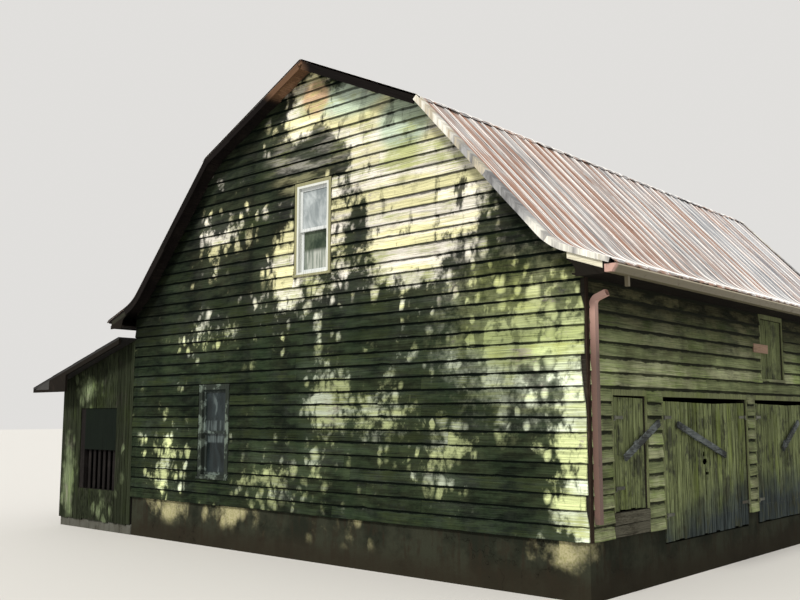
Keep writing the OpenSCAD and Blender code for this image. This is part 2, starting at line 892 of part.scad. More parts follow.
module leaf(w, z, h) {
    ledges = [z + ledge_w, z + h - 2 * ledge_w];
    color("olivedrab") {
        block([-door_t, 0, z], [0, w, z + h]);
        for (low = ledges)
            block([-door_t - ledge_t, ledge_w / 2, low],
                [-door_t, w - ledge_w / 2, low + ledge_w]);
        along(-door_t - ledge_t, ledge_t) polygon([
            [ledge_w / 2, ledges[0] + ledge_w], [ledge_w * 3 / 2, ledges[0] + ledge_w],
            [w - ledge_w / 2, ledges[1]], [w - ledge_w * 3 / 2, ledges[1]]
        ]);
    }
}

module hinge(z) {
    difference() {
        union() {
            block([0, pin_in, z], [strap_t, strap_l, z + strap_w]);
            translate([barrel_r, pin_in, z - (barrel_h - strap_w) / 2])
                cylinder(r = barrel_r, h = barrel_h);
        }
        translate([barrel_r, pin_in, z - barrel_h]) cylinder(r = pin_r + pin_gap, h = 3 * barrel_h);
    }
}

module hinges(heights) {
    color("dimgray") for (z = heights) hinge(z);
}

// A pintle: its foot on the jamb face, its arm under the barrel and its pin up through the barrel
module pintle(z) {
    low = z - (barrel_h - strap_w) / 2 - pin_gap - arm_h;
    color("dimgray") {
        block([0, -jamb_gap - reveal, low], [barrel_r + pin_r, -jamb_gap, low + arm_h]);
        block([barrel_r - pin_r, -jamb_gap, low], [barrel_r + pin_r, pin_in, low + arm_h]);
        translate([barrel_r, pin_in, low]) cylinder(r = pin_r, h = arm_h + barrel_h);
    }
}

small_heights = [small_hinge_low, hinge_top];
barn_heights = [hinge_low, hinge_top];

// Door edge next to its hinges, hinge side, and hinge heights of each leaf
leaves = [
    [small_door_y + jamb_gap, 1, small_heights],
    [door_1_y + jamb_gap, 1, barn_heights],
    [door_1_y + door_1_w - jamb_gap, -1, barn_heights],
    [door_2_y + jamb_gap, 1, barn_heights],
    [door_2_y + door_2_w - jamb_gap, -1, barn_heights],
];

module on_leaf(i) {
    hung(leaves[i][0], leaves[i][1]) children();
}

module hinge_pintles() {
    for (i = [0:len(leaves) - 1]) on_leaf(i) for (z = leaves[i][2]) pintle(z);
}

// A diagonal bar from one end to the other, stood off the leaf by a block at the bolt
module bar(from, to, bolt) {
    span = to - from;
    turn = atan2(span.y, span.x);
    color("slategray") translate([0, from.x, from.y]) rotate([turn, 0, 0]) {
        block([bar_out, 0, -bar_w / 2], [bar_out + bar_t, norm(span), bar_w / 2]);
        block([0, bolt - bar_w / 2, -bar_w / 2], [bar_out, bolt + bar_w / 2, bar_w / 2]);
    }
}

module small_door_leaf() {
    on_leaf(0) leaf(small_door_w - 2 * jamb_gap, small_leaf_z, small_leaf_h);
}

module small_door_hinges() {
    on_leaf(0) hinges(small_heights);
}

module small_door_bar() {
    near = [small_bar_in, hinge_top - small_bar_near];
    far = [small_door_w + small_bar_out, hinge_top - small_bar_far];
    on_leaf(0) bar(near, far, small_bolt);
}

module door_1_left_leaf() {
    on_leaf(1) difference() {
        leaf(door_1_leaf, leaf_z, leaf_h);
        translate([-door_t - 1, hand_hole_y, hand_hole_z]) rotate([0, 90, 0])
            cylinder(r = hand_hole_r, h = door_t + 2);
        block([-door_t - 1, hand_hole_y - hand_hole_r / 2, hand_hole_z - 2 * hand_slot],
            [1, hand_hole_y + hand_hole_r / 2, hand_hole_z - hand_slot]);
    }
}

module door_1_left_hinges() {
    on_leaf(1) hinges(barn_heights);
}

module door_1_bar() {
    near = [bar_1_in, hinge_top - bar_1_near];
    far = [door_1_leaf + bar_1_out, hinge_top - bar_1_far];
    on_leaf(1) bar(near, far, bolt_1);
}

module door_1_right_leaf() {
    on_leaf(2) leaf(leaf_1_right, leaf_z, leaf_h);
}

module door_1_right_hinges() {
    on_leaf(2) hinges(barn_heights);
}

module door_2_left_leaf() {
    on_leaf(3) leaf(door_2_leaf, leaf_z, leaf_h);
}

module door_2_left_hinges() {
    on_leaf(3) hinges(barn_heights);
}

module door_2_bar() {
    near = [door_2_leaf - bar_2_in, hinge_top - bar_2_near];
    far = [door_2_leaf + bar_2_out, hinge_top - bar_2_far];
    on_leaf(3) bar(near, far, bolt_2);
}

module door_2_right_leaf() {
    on_leaf(4) leaf(leaf_2_right, leaf_z, leaf_h);
}

module door_2_right_hinges() {
    on_leaf(4) hinges(barn_heights);
}

place() foundation_front();
place() foundation_right();
place() foundation_back();
place() foundation_left();
place() lean_to_foundation();
place() front_gable_wall();
place() back_gable_wall();
place() left_wall();
place() right_wall_front();
place() right_wall_under_door();
place() right_wall_piers();
place() right_wall_back();
place() right_wall_upper();
place() corner_boards();
place() opening_casings();
place() loft_shutter();
place() loft_floor();
place() loft_joists();
place() loft_girder();
place() loft_posts();
place() gambrel_frames();
place() roof_upper_left();
place() roof_upper_right();
place() roof_lower_left();
place() roof_lower_right();
place() eave_flare_left();
place() eave_flare_right();
place() ridge_cap();
place() eave_soffits();
place() eave_boards();
place() flare_boards();
place() gutter();
place() downspout();
place() window_frames();
place() window_sashes();
place() window_glass();
place() lean_to_front_wall();
place() lean_to_left_wall();
place() lean_to_back_wall();
place() lean_to_roof();
place() lean_to_rafters();
place() lean_to_panel();
place() lean_to_slats();
place() hinge_pintles();
place() small_door_leaf();
place() small_door_hinges();
place() small_door_bar();
place() door_1_left_leaf();
place() door_1_left_hinges();
place() door_1_bar();
place() door_1_right_leaf();
place() door_1_right_hinges();
place() door_2_left_leaf();
place() door_2_left_hinges();
place() door_2_bar();
place() door_2_right_leaf();
place() door_2_right_hinges();
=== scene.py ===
import random
from functools import cache, partial
from math import ceil, pi, radians, sin, sqrt

import bmesh
import bpy
from bpy.props import FloatProperty, FloatVectorProperty, IntProperty, PointerProperty
from mathutils import Matrix, Vector, noise


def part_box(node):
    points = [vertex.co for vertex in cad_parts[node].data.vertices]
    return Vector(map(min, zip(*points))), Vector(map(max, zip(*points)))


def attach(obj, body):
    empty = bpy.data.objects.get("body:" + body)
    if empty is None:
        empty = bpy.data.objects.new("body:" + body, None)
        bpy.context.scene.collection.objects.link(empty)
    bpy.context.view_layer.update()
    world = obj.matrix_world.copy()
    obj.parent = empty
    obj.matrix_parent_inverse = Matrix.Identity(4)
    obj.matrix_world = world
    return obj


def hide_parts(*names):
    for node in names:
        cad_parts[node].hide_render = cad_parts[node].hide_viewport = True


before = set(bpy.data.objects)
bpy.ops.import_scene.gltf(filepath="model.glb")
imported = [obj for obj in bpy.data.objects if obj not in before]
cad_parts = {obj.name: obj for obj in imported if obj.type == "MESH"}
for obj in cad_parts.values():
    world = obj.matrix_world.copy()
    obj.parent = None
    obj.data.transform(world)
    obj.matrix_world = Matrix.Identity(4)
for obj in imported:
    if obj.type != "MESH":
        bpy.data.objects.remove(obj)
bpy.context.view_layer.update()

bl_info = {
    "name": "Gambrel barn dressing",
    "version": (1, 0, 0),
    "blender": (4, 5, 0),
    "location": "3D View > Sidebar > Barn",
    "description": "Boards, roof sheets, doors, windows and finishes over the barn's frame",
    "category": "Object",
}

WALL_LOW, WALL_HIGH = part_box("front_gable_wall")
MIDDLE = (WALL_LOW.x + WALL_HIGH.x) / 2
HALF = (WALL_HIGH.x - WALL_LOW.x) / 2
FRONT = WALL_LOW.y
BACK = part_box("back_gable_wall")[1].y
SILL = WALL_LOW.z
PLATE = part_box("right_wall_upper")[1].z - SILL
UP = Vector((0, 0, 1))

# Width of a roof sheet in pattern coordinates, and of the part of it from rib to rib
SHEET_PATTERN, RIB_REPEAT = 0.6, 0.3
# Distance of a sheet's edge ribs from its edge, and the upper row's lift over the lower one's ends
RIB_INSET, ROW_LIFT = 0.024, 0.012
# Narrowest piece of board that is laid
LEAST = 0.02
# Direction that the key light comes from, the camera's place and its turn, which are the photo's
KEY_FROM = (0.12, -0.72, 0.68)
CAMERA_AT = (12.906, -16.515, 2.350)
CAMERA_TURN = (radians(97.107), 0, radians(41.774))
FLOOR_REACH = 150.0


# Places and shapes that the pieces share

def lerp(a, b, f):
    return a + (b - a) * f


def wave(*at):
    """Smooth noise between -1 and 1."""
    return noise.noise(Vector(at))


def outline(*nodes):
    """Outer edge of the nodes' front ends, from the middle out, as distances from the middle and heights."""
    points = []
    for node in nodes:
        verts = [v.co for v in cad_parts[node].data.vertices]
        end = min(v.y for v in verts)
        points += [(v.x - MIDDLE, v.z) for v in verts if v.y < end + 0.001 and v.x > MIDDLE - 0.001]
    points = sorted(points, key=lambda p: (-p[0], p[1]))
    edge = []
    for x, z in points:
        if not edge or z > edge[-1][1] + 0.0005:
            if edge and abs(x - edge[-1][0]) < 0.0005:
                edge[-1] = (x, z)
            else:
                edge.append((x, z))
    return [Vector((x, z)) for x, z in reversed(edge)]


ROOF_LINE = outline("roof_upper_right", "roof_lower_right", "eave_flare_right")
GABLE_LINE = outline("front_gable_wall")


def half_at(z):
    """Half of the gable's width at a height above the sills."""
    z += SILL
    for inner, outer in zip(GABLE_LINE, GABLE_LINE[1:]):
        if outer.y <= z <= inner.y:
            return lerp(outer.x, inner.x, (z - outer.y) / max(inner.y - outer.y, 1e-6))
    return HALF if z < GABLE_LINE[-1].y else 0.0


def walk(points, run):
    """Point on a line at a distance along it, and the line's direction there."""
    for a, b in zip(points, points[1:]):
        step = (b - a).length
        if run <= step or b is points[-1]:
            return a + (b - a) * (run / step), (b - a) / step
        run -= step


def path_at(points, run):
    """Point on a line at a distance along it, with its outward direction eased round the bends."""
    way, ease = Vector((0, 0)), 0.06
    for at in (run - ease, run + ease):
        way += walk(points, max(at, 0.0))[1]
    way.normalize()
    return walk(points, run)[0], Vector((-way.y, way.x))


def line_length(points):
    return sum((b - a).length for a, b in zip(points, points[1:]))


class Face:
    """A wall face, with places given along it from its left end, out from it and up from the sills."""

    def __init__(self, corner, along, outward, length):
        self.corner, self.along, self.outward = Vector(corner), Vector(along), Vector(outward)
        self.length = length

    def at(self, u, out, z):
        return self.corner + self.along * u + self.outward * out + UP * z

    def span(self, low, high):
        """Extent of a box along the face and in height above the sills."""
        a = (low - self.corner).dot(self.along)
        b = (high - self.corner).dot(self.along)
        return min(a, b), max(a, b), low.z - SILL, high.z - SILL


FRONT_FACE = Face((MIDDLE - HALF, FRONT, SILL), (1, 0, 0), (0, -1, 0), 2 * HALF)
RIGHT_FACE = Face((MIDDLE + HALF, FRONT, SILL), (0, 1, 0), (1, 0, 0), BACK - FRONT)
BACK_FACE = Face((MIDDLE + HALF, BACK, SILL), (-1, 0, 0), (0, 1, 0), 2 * HALF)
LEFT_FACE = Face((MIDDLE - HALF, BACK, SILL), (0, -1, 0), (-1, 0, 0), BACK - FRONT)


def solids(node):
    """Boxes of the separate solids of a node, in order along the row frame."""
    bm = bmesh.new()
    bm.from_mesh(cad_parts[node].data)
    bmesh.ops.remove_doubles(bm, verts=bm.verts[:], dist=1e-5)
    left, boxes = set(bm.verts), []
    for start in list(bm.verts):
        if start not in left:
            continue
        left.discard(start)
        heap, low, high = [start], start.co.copy(), start.co.copy()
        while heap:
            v = heap.pop()
            low = Vector(map(min, low, v.co))
            high = Vector(map(max, high, v.co))
            for e in v.link_edges:
                other = e.other_vert(v)
                if other in left:
                    left.discard(other)
                    heap.append(other)
        boxes.append((low, high))
    bm.free()
    return sorted(boxes, key=lambda box: tuple(round(c, 3) for c in (*box[0], *box[1])))


def new_mesh():
    """An empty mesh to build in, with its pattern coordinates and its tone for each board."""
    bm = bmesh.new()
    bm.loops.layers.uv.new("UVMap")
    bm.verts.layers.float.new("tone")
    bm.verts.layers.float.new("rib")
    return bm


def plank(bm, cuts, place, uv, tone, material=0):
    """Adds one closed board. place(s, t, d) gives its points from fractions along, across and out."""
    one = new_mesh()
    verts = bmesh.ops.create_cube(one, size=1.0)["verts"]
    rails = [e for v in verts if v.co.x < 0 for e in v.link_edges if e.other_vert(v).co.x > 0]
    if cuts:
        bmesh.ops.subdivide_edges(one, edges=rails, cuts=cuts, use_grid_fill=True)
    tones, maps = one.verts.layers.float["tone"], one.loops.layers.uv.active
    for f in one.faces:
        f.material_index = material
        for loop in f.loops:
            loop[maps].uv = uv(loop.vert.co.x + 0.5, loop.vert.co.z + 0.5)
    for v in one.verts:
        v.co = place(v.co.x + 0.5, v.co.z + 0.5, v.co.y + 0.5)
        v[tones] = tone
    part = bpy.data.meshes.new("part")
    one.to_mesh(part)
    one.free()
    bm.from_mesh(part)
    bpy.data.meshes.remove(part)


def beam(bm, start, end, across, depth, tone, cuts=4, wander=0.002, material=0):
    """A board from one point to another, its width and its depth given as directions."""
    way, seed = end - start, tone * 37
    wide, deep = across.normalized() * wander, depth.normalized() * wander

    def place(s, f, d):
        spot = start + way * s + across * f + depth * d
        return spot + wide * wave(s * way.length, f, seed) + deep * wave(seed, s * way.length, f + 5)

    plank(bm, cuts, place, lambda s, f: (s * way.length + seed, f * across.length * 5), tone, material)


def panel(bm, points, depth):
    """A flat board with the outline of the points, given its thickness as a direction."""
    verts = [bm.verts.new(p) for p in points]
    face = bmesh.ops.contextual_create(bm, geom=verts)["faces"][0]
    out = bmesh.ops.extrude_face_region(bm, geom=[face], use_keep_orig=True)["geom"]
    bmesh.ops.translate(bm, vec=depth, verts=[v for v in out if isinstance(v, bmesh.types.BMVert)])


def sheet_strip(bm, columns, rows, place, tone):
    """An open strip of sheet metal. place(i, j) gives its points, their pattern and their place on a rib."""
    made = bmesh.ops.create_grid(bm, x_segments=columns - 1, y_segments=rows - 1, size=0.5)["verts"]
    ribs, tones = bm.verts.layers.float["rib"], bm.verts.layers.float["tone"]
    maps, where = bm.loops.layers.uv.active, {}
    for v in made:
        i, j = round((v.co.x + 0.5) * (columns - 1)), round((v.co.y + 0.5) * (rows - 1))
        v.co, where[v], v[ribs] = place(i, j)
        v[tones] = tone
    faces = {f for v in made for f in v.link_faces}
    for f in faces:
        for loop in f.loops:
            loop[maps].uv = where[loop.vert]
    return faces


def thicken(bm, thickness):
    """Gives sheets their thickness, once their faces point the right way."""
    bm.normal_update()
    bmesh.ops.solidify(bm, geom=bm.faces[:], thickness=thickness)


def finish_piece(bm, name, slot, finishes=None, body="barn", replaces=(), normals=True):
    """Turns a built mesh into a piece that rides on its body. Its finish is its slot's if none is given."""
    if normals:
        bmesh.ops.recalc_face_normals(bm, faces=bm.faces[:])
    mesh = bpy.data.meshes.new(name)
    bm.to_mesh(mesh)
    bm.free()
    for finish in finishes or [slot]:
        mesh.materials.append(FINISHES[finish]())
    piece = place_object(name, mesh)
    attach(piece, body)
    if replaces:
        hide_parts(*replaces)


def place_object(name, data):
    made = bpy.data.objects.new(name, data)
    bpy.context.scene.collection.objects.link(made)
    return made


# Shader building

class Value:
    """An output in a node tree. Sums, differences, products and quotients of values are math nodes."""

    def __init__(self, socket):
        self.socket = socket

    def beside(self, name):
        """Another output of the same node."""
        return Value(self.socket.node.outputs[name])

    def __add__(self, other):
        return work("ADD", self, other)

    def __radd__(self, other):
        return work("ADD", other, self)

    def __sub__(self, other):
        return work("SUBTRACT", self, other)

    def __rsub__(self, other):
        return work("SUBTRACT", other, self)

    def __mul__(self, other):
        return work("MULTIPLY", self, other)

    def __truediv__(self, other):
        return work("DIVIDE", self, other)


def connect(node, inputs):
    """Links a node's inputs to values, or sets them to numbers and colours."""
    for name, value in inputs.items():
        socket = node.inputs[name]
        if isinstance(value, Value):
            node.id_data.links.new(value.socket, socket)
        elif socket.type == "RGBA":
            socket.default_value = (*value[:3], 1.0)
        else:
            socket.default_value = value


def add(kind, inputs, out=0, **settings):
    """Adds a shader node to the tree that its inputs come from, and gives one of its outputs."""
    tree = next(value.socket.id_data for value in inputs.values() if isinstance(value, Value))
    node = tree.nodes.new("ShaderNode" + kind)
    for name, value in settings.items():
        setattr(node, name, value)
    connect(node, inputs)
    return Value(node.outputs[out])


def work(how, a, b=0.5):
    return add("Math", {0: a, 1: b}, operation=how)


def larger(a, b):
    return work("MAXIMUM", a, b)


def blend(factor, low, high, how="MIX"):
    return add("Mix", {0: factor, 6: low, 7: high}, 2, data_type="RGBA", blend_type=how)


def shaded(color, by, factor=1.0):
    return blend(factor, color, by, "MULTIPLY")


def grey(value):
    return add("CombineColor", {i: value for i in range(3)})


def scaled(color, by):
    """A colour times a number, or times three."""
    return tuple(c * v for c, v in zip(color, by if isinstance(by, tuple) else (by,) * 3))


def between(value, low, high, to_low=0.0, to_high=1.0, smooth=True):
    """A value that goes from one number to another while the input crosses a range."""
    inputs = {"Value": value, "From Min": low, "From Max": high, "To Min": to_low, "To Max": to_high}
    return add("MapRange", inputs, interpolation_type="SMOOTHSTEP" if smooth else "LINEAR")


def parts(vector):
    """The three coordinates of a place."""
    x = add("SeparateXYZ", {0: vector})
    return x, x.beside(1), x.beside(2)


def moved(vector, by):
    return add("VectorMath", {0: vector, 1: by}, operation="ADD")


def own_pattern(along, tone, step):
    """Pattern coordinates that lie apart for each board or sheet."""
    return moved(along, add("CombineXYZ", {2: tone * step}))


def mottle(vector, scale, detail=4.0, rough=0.55, stretch=None, shift=None, warp=0.0):
    """Noise over a stretched pattern space."""
    if stretch or shift:
        inputs = {"Vector": vector, "Scale": stretch or (1, 1, 1), "Location": shift or (0, 0, 0)}
        vector = add("Mapping", inputs)
    return add("TexNoise", {
        "Vector": vector, "Scale": scale, "Detail": detail, "Roughness": rough, "Distortion": warp})


def node_group(name, inputs, outputs):
    """Makes a node group with named sockets from a function of its inputs. It is built when first used."""
    def wrap(build):
        @cache
        def give():
            tree = bpy.data.node_groups.new(name, "ShaderNodeTree")
            for label, value in inputs.items():
                kind = "Vector" if value is None else "Color" if isinstance(value, tuple) else "Float"
                socket = tree.interface.new_socket(label, in_out="INPUT", socket_type="NodeSocket" + kind)
                if value is not None:
                    socket.default_value = (*value, 1) if kind == "Color" else value
            for label in outputs:
                kind = "Color" if label == "Color" else "Float"
                tree.interface.new_socket(label, in_out="OUTPUT", socket_type="NodeSocket" + kind)
            given = [Value(socket) for socket, _ in zip(tree.nodes.new("NodeGroupInput").outputs, inputs)]
            connect(tree.nodes.new("NodeGroupOutput"), dict(zip(outputs, build(*given))))
            return tree

        return give

    return wrap


@node_group("Weathered boards", {
    "Along": None, "Place": None, "Tone": 0.5, "Paint": (0.5, 0.5, 0.4), "Wood": (0.1, 0.09, 0.07),
    "Growth": (0.06, 0.09, 0.03), "Bare": 0.3, "Green": 0.4, "Streaks": 0.5,
}, ("Color", "Roughness", "Height"))
def weathered_boards(along, place, tone, paint, wood, growth, bare, green, streaks):
    """Old paint over wood: grain along the board, peeling, green growth and a tone for each board."""
    along = own_pattern(along, tone, 40.0)
    fibres = mottle(along, 1.0, 5, 0.68, (1.6, 30, 1))
    checks = mottle(along, 1.0, 3, 0.6, (0.8, 9, 1), (3, 7, 0), 0.4)
    patches = mottle(place, 2.1, 5, 0.6)
    flecks = mottle(along, 1.0, 4, 0.62, (7, 9, 1))
    limit = 0.67 - bare * 0.34
    peeled = between(patches * 0.4 + fibres * 0.35 + flecks * 0.25, limit, limit + 0.06)
    color = blend(peeled, paint, wood)
    grown = mottle(place, 1.3, 4, 0.6, None, (9, 2, 4)) * 0.5 + checks * 0.34 + tone * 0.16
    limit = 0.68 - green * 0.36
    color = blend(between(grown, limit, limit + 0.14) * 0.85, color, growth)
    shade = 1.12 - between(fibres, 0.32, 0.6, 1.0, 0.0, False) * streaks
    shade = shade * between(work("FRACT", tone * 7.3), 0, 1, 0.76, 1.2, False)
    shade = shade * between(checks, 0.34, 0.42, 0.6, 1.0)
    return (shaded(color, grey(shade)), between(fibres, 0.3, 0.7, 0.92, 0.72, False),
            fibres * 0.7 + peeled * -0.25)


@node_group("Lap lines", {"Along": None, "Place": None, "Lap": 0.0}, ("Line", "Shade"))
def lap_lines(along, place, lap):
    """Dark line at the butt of each lapped board and in the corner above it, painted shadow and dirt under
    each lap, and the shade below a lap.
    """
    height = parts(along)[1]
    ragged = mottle(place, 4.0, 4, 0.65, (1, 1, 0.2))
    top = 1.06 - ragged * (0.3 + lap)
    under = between(height, top - 0.06, top)
    foot = between(height, 0.0, ragged * 0.1, 1.0, 0.0)
    soft = between(height - ragged * 0.5, 0.2, 0.75)
    return larger(under, foot), 1.0 - soft * (lap * 3.2)


@node_group("Rusted sheet", {
    "Along": None, "Place": None, "Tone": 0.5, "Rib": 0.0, "Metal": (0.5, 0.5, 0.5),
    "Stain": (0.3, 0.28, 0.3), "Rust": (0.3, 0.12, 0.05), "Wear and glint": (0.8, 0.8, 0.8), "Rusty": 0.5, "Pan": 0.5,
}, ("Color", "Roughness", "Height", "Bare"))
def rusted_sheet(along, place, tone, rib, metal, stain, rust, worn, rusty, pan):
    """Galvanised sheet with rust that runs down the slope, dull stains, and pale ribs of wear and painted
    highlight, with a painted highlight band beside each rib and painted shade at each rib's foot.
    """
    along = own_pattern(along, tone, 30.0)
    runs = mottle(along, 1.0, 4, 0.62, (10.0, 0.32, 1))
    fine = mottle(along, 1.0, 3, 0.6, (26.0, 0.9, 1))
    mix = runs * 0.68 + mottle(place, 3.2, 5, 0.65) * 0.2 + tone * 0.16
    mix = mix + between(pan, 0.15, 0.6, 0.075, 0.0)
    limit = 0.64 - rusty * 0.26
    rusted = between(mix, limit, limit + 0.1)
    stains = between(mottle(along, 1.0, 4, 0.6, (3.4, 0.8, 1), (5, 5, 5)), 0.44, 0.62)
    color = blend(stains * 0.75, metal, stain)
    deep = between(mix, limit + 0.08, limit + 0.2, 0.0, 0.6)
    color = blend(rusted * 0.9, color, blend(deep, rust, (0.2, 0.075, 0.035)))
    # Wear and painted highlight: a glint band beside each rib, pale glint and wear on the rib tops
    wear_and_glint_mask = between(pan, 0.7, 0.88) * between(fine, 0.36, 0.56, 0.0, 0.65)
    wear_and_glint_mask = larger(wear_and_glint_mask, between(rib, 0.3, 0.85) * between(fine, 0.28, 0.44, 0.0, 0.95))
    color = blend(wear_and_glint_mask, color, worn)
    # Painted shade at the foot of each rib
    foot = between(rib, 0.0, 0.12) * between(rib, 0.35, 0.75, 1.0, 0.0)
    shade = between(fine, 0.3, 0.7, 0.72, 1.15, False) * (1.0 - foot * 0.6)
    return shaded(color, grey(shade)), 0.5 + rusted * 0.35, rusted * 0.4 + fine, 1.0 - rusted


@node_group("Grime", {
    "Place": None, "Color": (0.5, 0.5, 0.5), "Dirt": (0.05, 0.045, 0.035), "Amount": 0.5,
}, ("Color", "Mask"))
def grime(place, color, dirt, amount):
    """Dirt that gathers in patches and runs downwards."""
    mix = mottle(place, 1.0, 4, 0.6, (14, 14, 1.1)) * 0.5 + mottle(place, 4.5, 5, 0.65) * 0.5
    limit = 0.64 - amount * 0.3
    mask = between(mix, limit, limit + 0.16)
    return blend(mask * 0.8, color, dirt), mask


def attribute(made, name):
    node = made.node_tree.nodes.new("ShaderNodeAttribute")
    node.attribute_name = name
    return Value(node.outputs["Fac"])


def material(name, rough=0.8, shine=0.04):
    """A new material, the object's place, the way along each board and the board's tone."""
    made = bpy.data.materials.new(name)
    made.use_nodes = True
    nodes = made.node_tree.nodes
    connect(nodes["Principled BSDF"], {"Roughness": rough, "Specular IOR Level": shine})
    coords = nodes.new("ShaderNodeTexCoord").outputs
    return made, Value(coords["Object"]), Value(coords["UV"]), attribute(made, "tone")


def finished(made, color, rough=None, relief=None, metallic=None):
    """Links a material's shader. relief holds a height, its strength and its distance."""
    inputs = {"Base Color": color, "Roughness": rough, "Metallic": metallic}
    if relief:
        inputs["Normal"] = add("Bump", dict(zip(("Height", "Strength", "Distance"), relief)))
    connect(made.node_tree.nodes["Principled BSDF"], {k: v for k, v in inputs.items() if v is not None})
    return made


# Masks of painted light and shade

def zone(place, x, z, wide, high):
    """Soft round mask on the gable, given from its middle and above the sills."""
    return add("TexGradient", {"Vector": add("Mapping", {
        "Vector": place, "Scale": (1 / wide, 0, 1 / high),
        "Location": (-(MIDDLE + x) / wide, 0, -(SILL + z) / high),
    })}, "Fac", gradient_type="SPHERICAL")


def raised(level, place, patches):
    """A level raised or lowered in zones, each with its place, its size and how much."""
    for *where, much in patches:
        level = level + zone(place, *where) * much
    return level


def sunflecks(place, scale, level, soft):
    """Soft round flecks of painted sunlight, more and brighter of them where the level is higher."""
    sway = add("TexNoise", {"Vector": place, "Scale": scale * 0.8, "Detail": 2.0}, 1)
    sway = add("VectorMath", {0: sway, "Scale": 0.4 / scale}, operation="SCALE")
    bent = moved(add("Mapping", {"Vector": place, "Scale": (1.1, 1, 0.72)}), sway)
    look = {"Vector": bent, "Scale": scale, "Randomness": 0.9}
    cell = add("TexVoronoi", look)
    edge = add("TexVoronoi", look, feature="DISTANCE_TO_EDGE")
    chance = add("SeparateColor", {0: cell.beside("Color")})
    return between(cell, 0.58, 0.58 - soft) * between(edge, 0.0, 0.1) * between(level - chance, -0.05, 0.4)


# Places of painted sunlight on the gable, from its middle and above the sills, sizes and how much more light;
# below zero, more painted shade
GABLE_SUN_PATCHES = (
    (-0.6, 4.4, 0.7, 1.1, 0.75), (4.3, 3.1, 1.5, 1.2, 0.45), (1.4, 3.4, 1.6, 0.6, -0.55),
    (2.2, 5.3, 2.9, 2.6, 2.1), (-0.5, 6.55, 1.0, 0.55, 0.9), (-0.7, 3.75, 1.4, 0.8, 0.6),
    (-0.2, 4.4, 0.9, 0.8, 0.45), (5.2, 1.0, 0.95, 2.3, 1.2), (0.35, 1.9, 0.75, 1.5, 0.95),
    (1.5, 1.7, 1.3, 0.7, 0.9), (4.6, 3.2, 1.5, 1.0, 0.8), (3.6, 2.9, 1.3, 0.8, 0.4),
    (2.5, 2.5, 1.3, 0.5, 0.4), (-4.1, 0.7, 0.85, 1.3, 0.85), (4.3, 2.4, 1.7, 0.8, 0.7),
    (2.9, 1.1, 0.9, 0.9, 0.7), (-2.7, 4.8, 1.0, 1.0, 0.75), (-1.8, 5.0, 0.7, 0.8, 0.4),
    (-2.9, 3.1, 1.5, 0.6, 0.7), (-0.9, 0.5, 1.5, 0.8, 0.8), (0.6, 3.4, 2.4, 0.6, 0.3),
    (-0.9, 5.9, 0.8, 0.5, -0.2), (3.9, 4.3, 1.5, 1.3, -0.45), (0.25, 6.3, 0.4, 0.4, -0.9),
    (0.1, 5.9, 0.8, 0.45, -0.9), (0.75, 5.7, 0.45, 0.8, -0.7), (1.15, 4.7, 0.5, 1.2, -1.0),
    (1.2, 6.7, 1.4, 0.7, 1.2), (-0.1, 7.1, 0.7, 0.6, 1.5), (1.9, 0.7, 2.0, 0.8, 0.3),
    (-4.0, 5.6, 1.2, 2.4, -0.6), (3.9, 1.9, 0.9, 1.1, 0.5),
)
GABLE_TINTS = (
    (1.0, 6.95, 1.3, 0.6, (0.5, 0.65, 0.52)), (2.1, 6.2, 0.8, 0.7, (0.5, 0.65, 0.5)),
    (0.08, 7.05, 0.5, 0.45, (0.66, 0.42, 0.25)), (4.3, 3.1, 1.9, 1.3, (0.56, 0.58, 0.27)),
)
# Painted sunlit patches on the lean-to's front boards, given the same way
LEAN_TO_SUN_PATCHES = (
    (-7.7, 0.3, 0.5, 1.6, 1.3), (-7.0, 2.2, 1.1, 0.7, 0.9), (-6.3, -0.2, 0.6, 0.5, 0.9),
    (-5.6, 1.0, 0.3, 1.6, 0.4),
)
# Painted sunlit patches on the front foundation, given the same way
FOUNDATION_SUN_PATCHES = (
    (-4.0, -0.2, 1.3, 0.9, 0.95), (-2.0, -0.2, 1.2, 0.9, 0.9), (0.7, -0.2, 1.7, 0.9, 0.5),
    (4.9, -0.2, 1.2, 0.9, 0.8),
)


def gable_light(place):
    """Painted sunlight and leaf shade on the gable: broad lit places high and to the right, soft sunflecks
    round them.
    """
    ragged = mottle(place, 2.2, 6, 0.64)
    speckle = (mottle(place, 8.0, 4, 0.6) - 0.5) * 0.8
    level = raised((ragged - 0.5) * 1.9, place, GABLE_SUN_PATCHES)
    broad = between(level - zone(place, 4.3, 3.0, 1.9, 1.5) * 0.6 + speckle, 0.45, 0.85)
    lit = larger(broad, larger(sunflecks(place, 3.4, level, 0.36), sunflecks(place, 6.0, level * 1.15, 0.4)))
    strong = between(parts(place)[2] + ragged * 1.4, SILL + 3.0, SILL + 4.2, 0.5, 1.0)
    for where in ((5.2, 1.4, 1.5, 3.4), (-4.1, 0.9, 1.7, 1.6)):
        strong = larger(strong, between(zone(place, *where), 0.1, 0.5))
    # Holes of painted leaf shade in the lit places, fewer where the light is strongest
    dim = between(mottle(place, 2.4, 5, 0.62, (1.3, 1, 0.6), (3, 3, 3)), 0.54, 0.63, 0.0, 0.92)
    lit = lit * strong * (1.0 - dim * between(level, 1.1, 1.9, 1.0, 0.25))
    # Faint painted light high in the middle and painted half light at the right
    faint = between(mottle(place, 1.5, 5, 0.66, (0.8, 1, 4.0), (6, 6, 6)), 0.42, 0.64, 0.03, 0.3)
    lit = larger(lit, faint * between(zone(place, 0.0, 6.0, 1.5, 0.95), 0.05, 0.5))
    half = between(speckle + level * 0.35, -0.05, 0.5, 0.0, 0.3)
    lit = larger(lit, half * between(zone(place, 4.3, 2.8, 2.2, 2.0), 0.05, 0.45))
    return larger(lit, between(level, -0.4, 0.8, 0.0, 0.035))


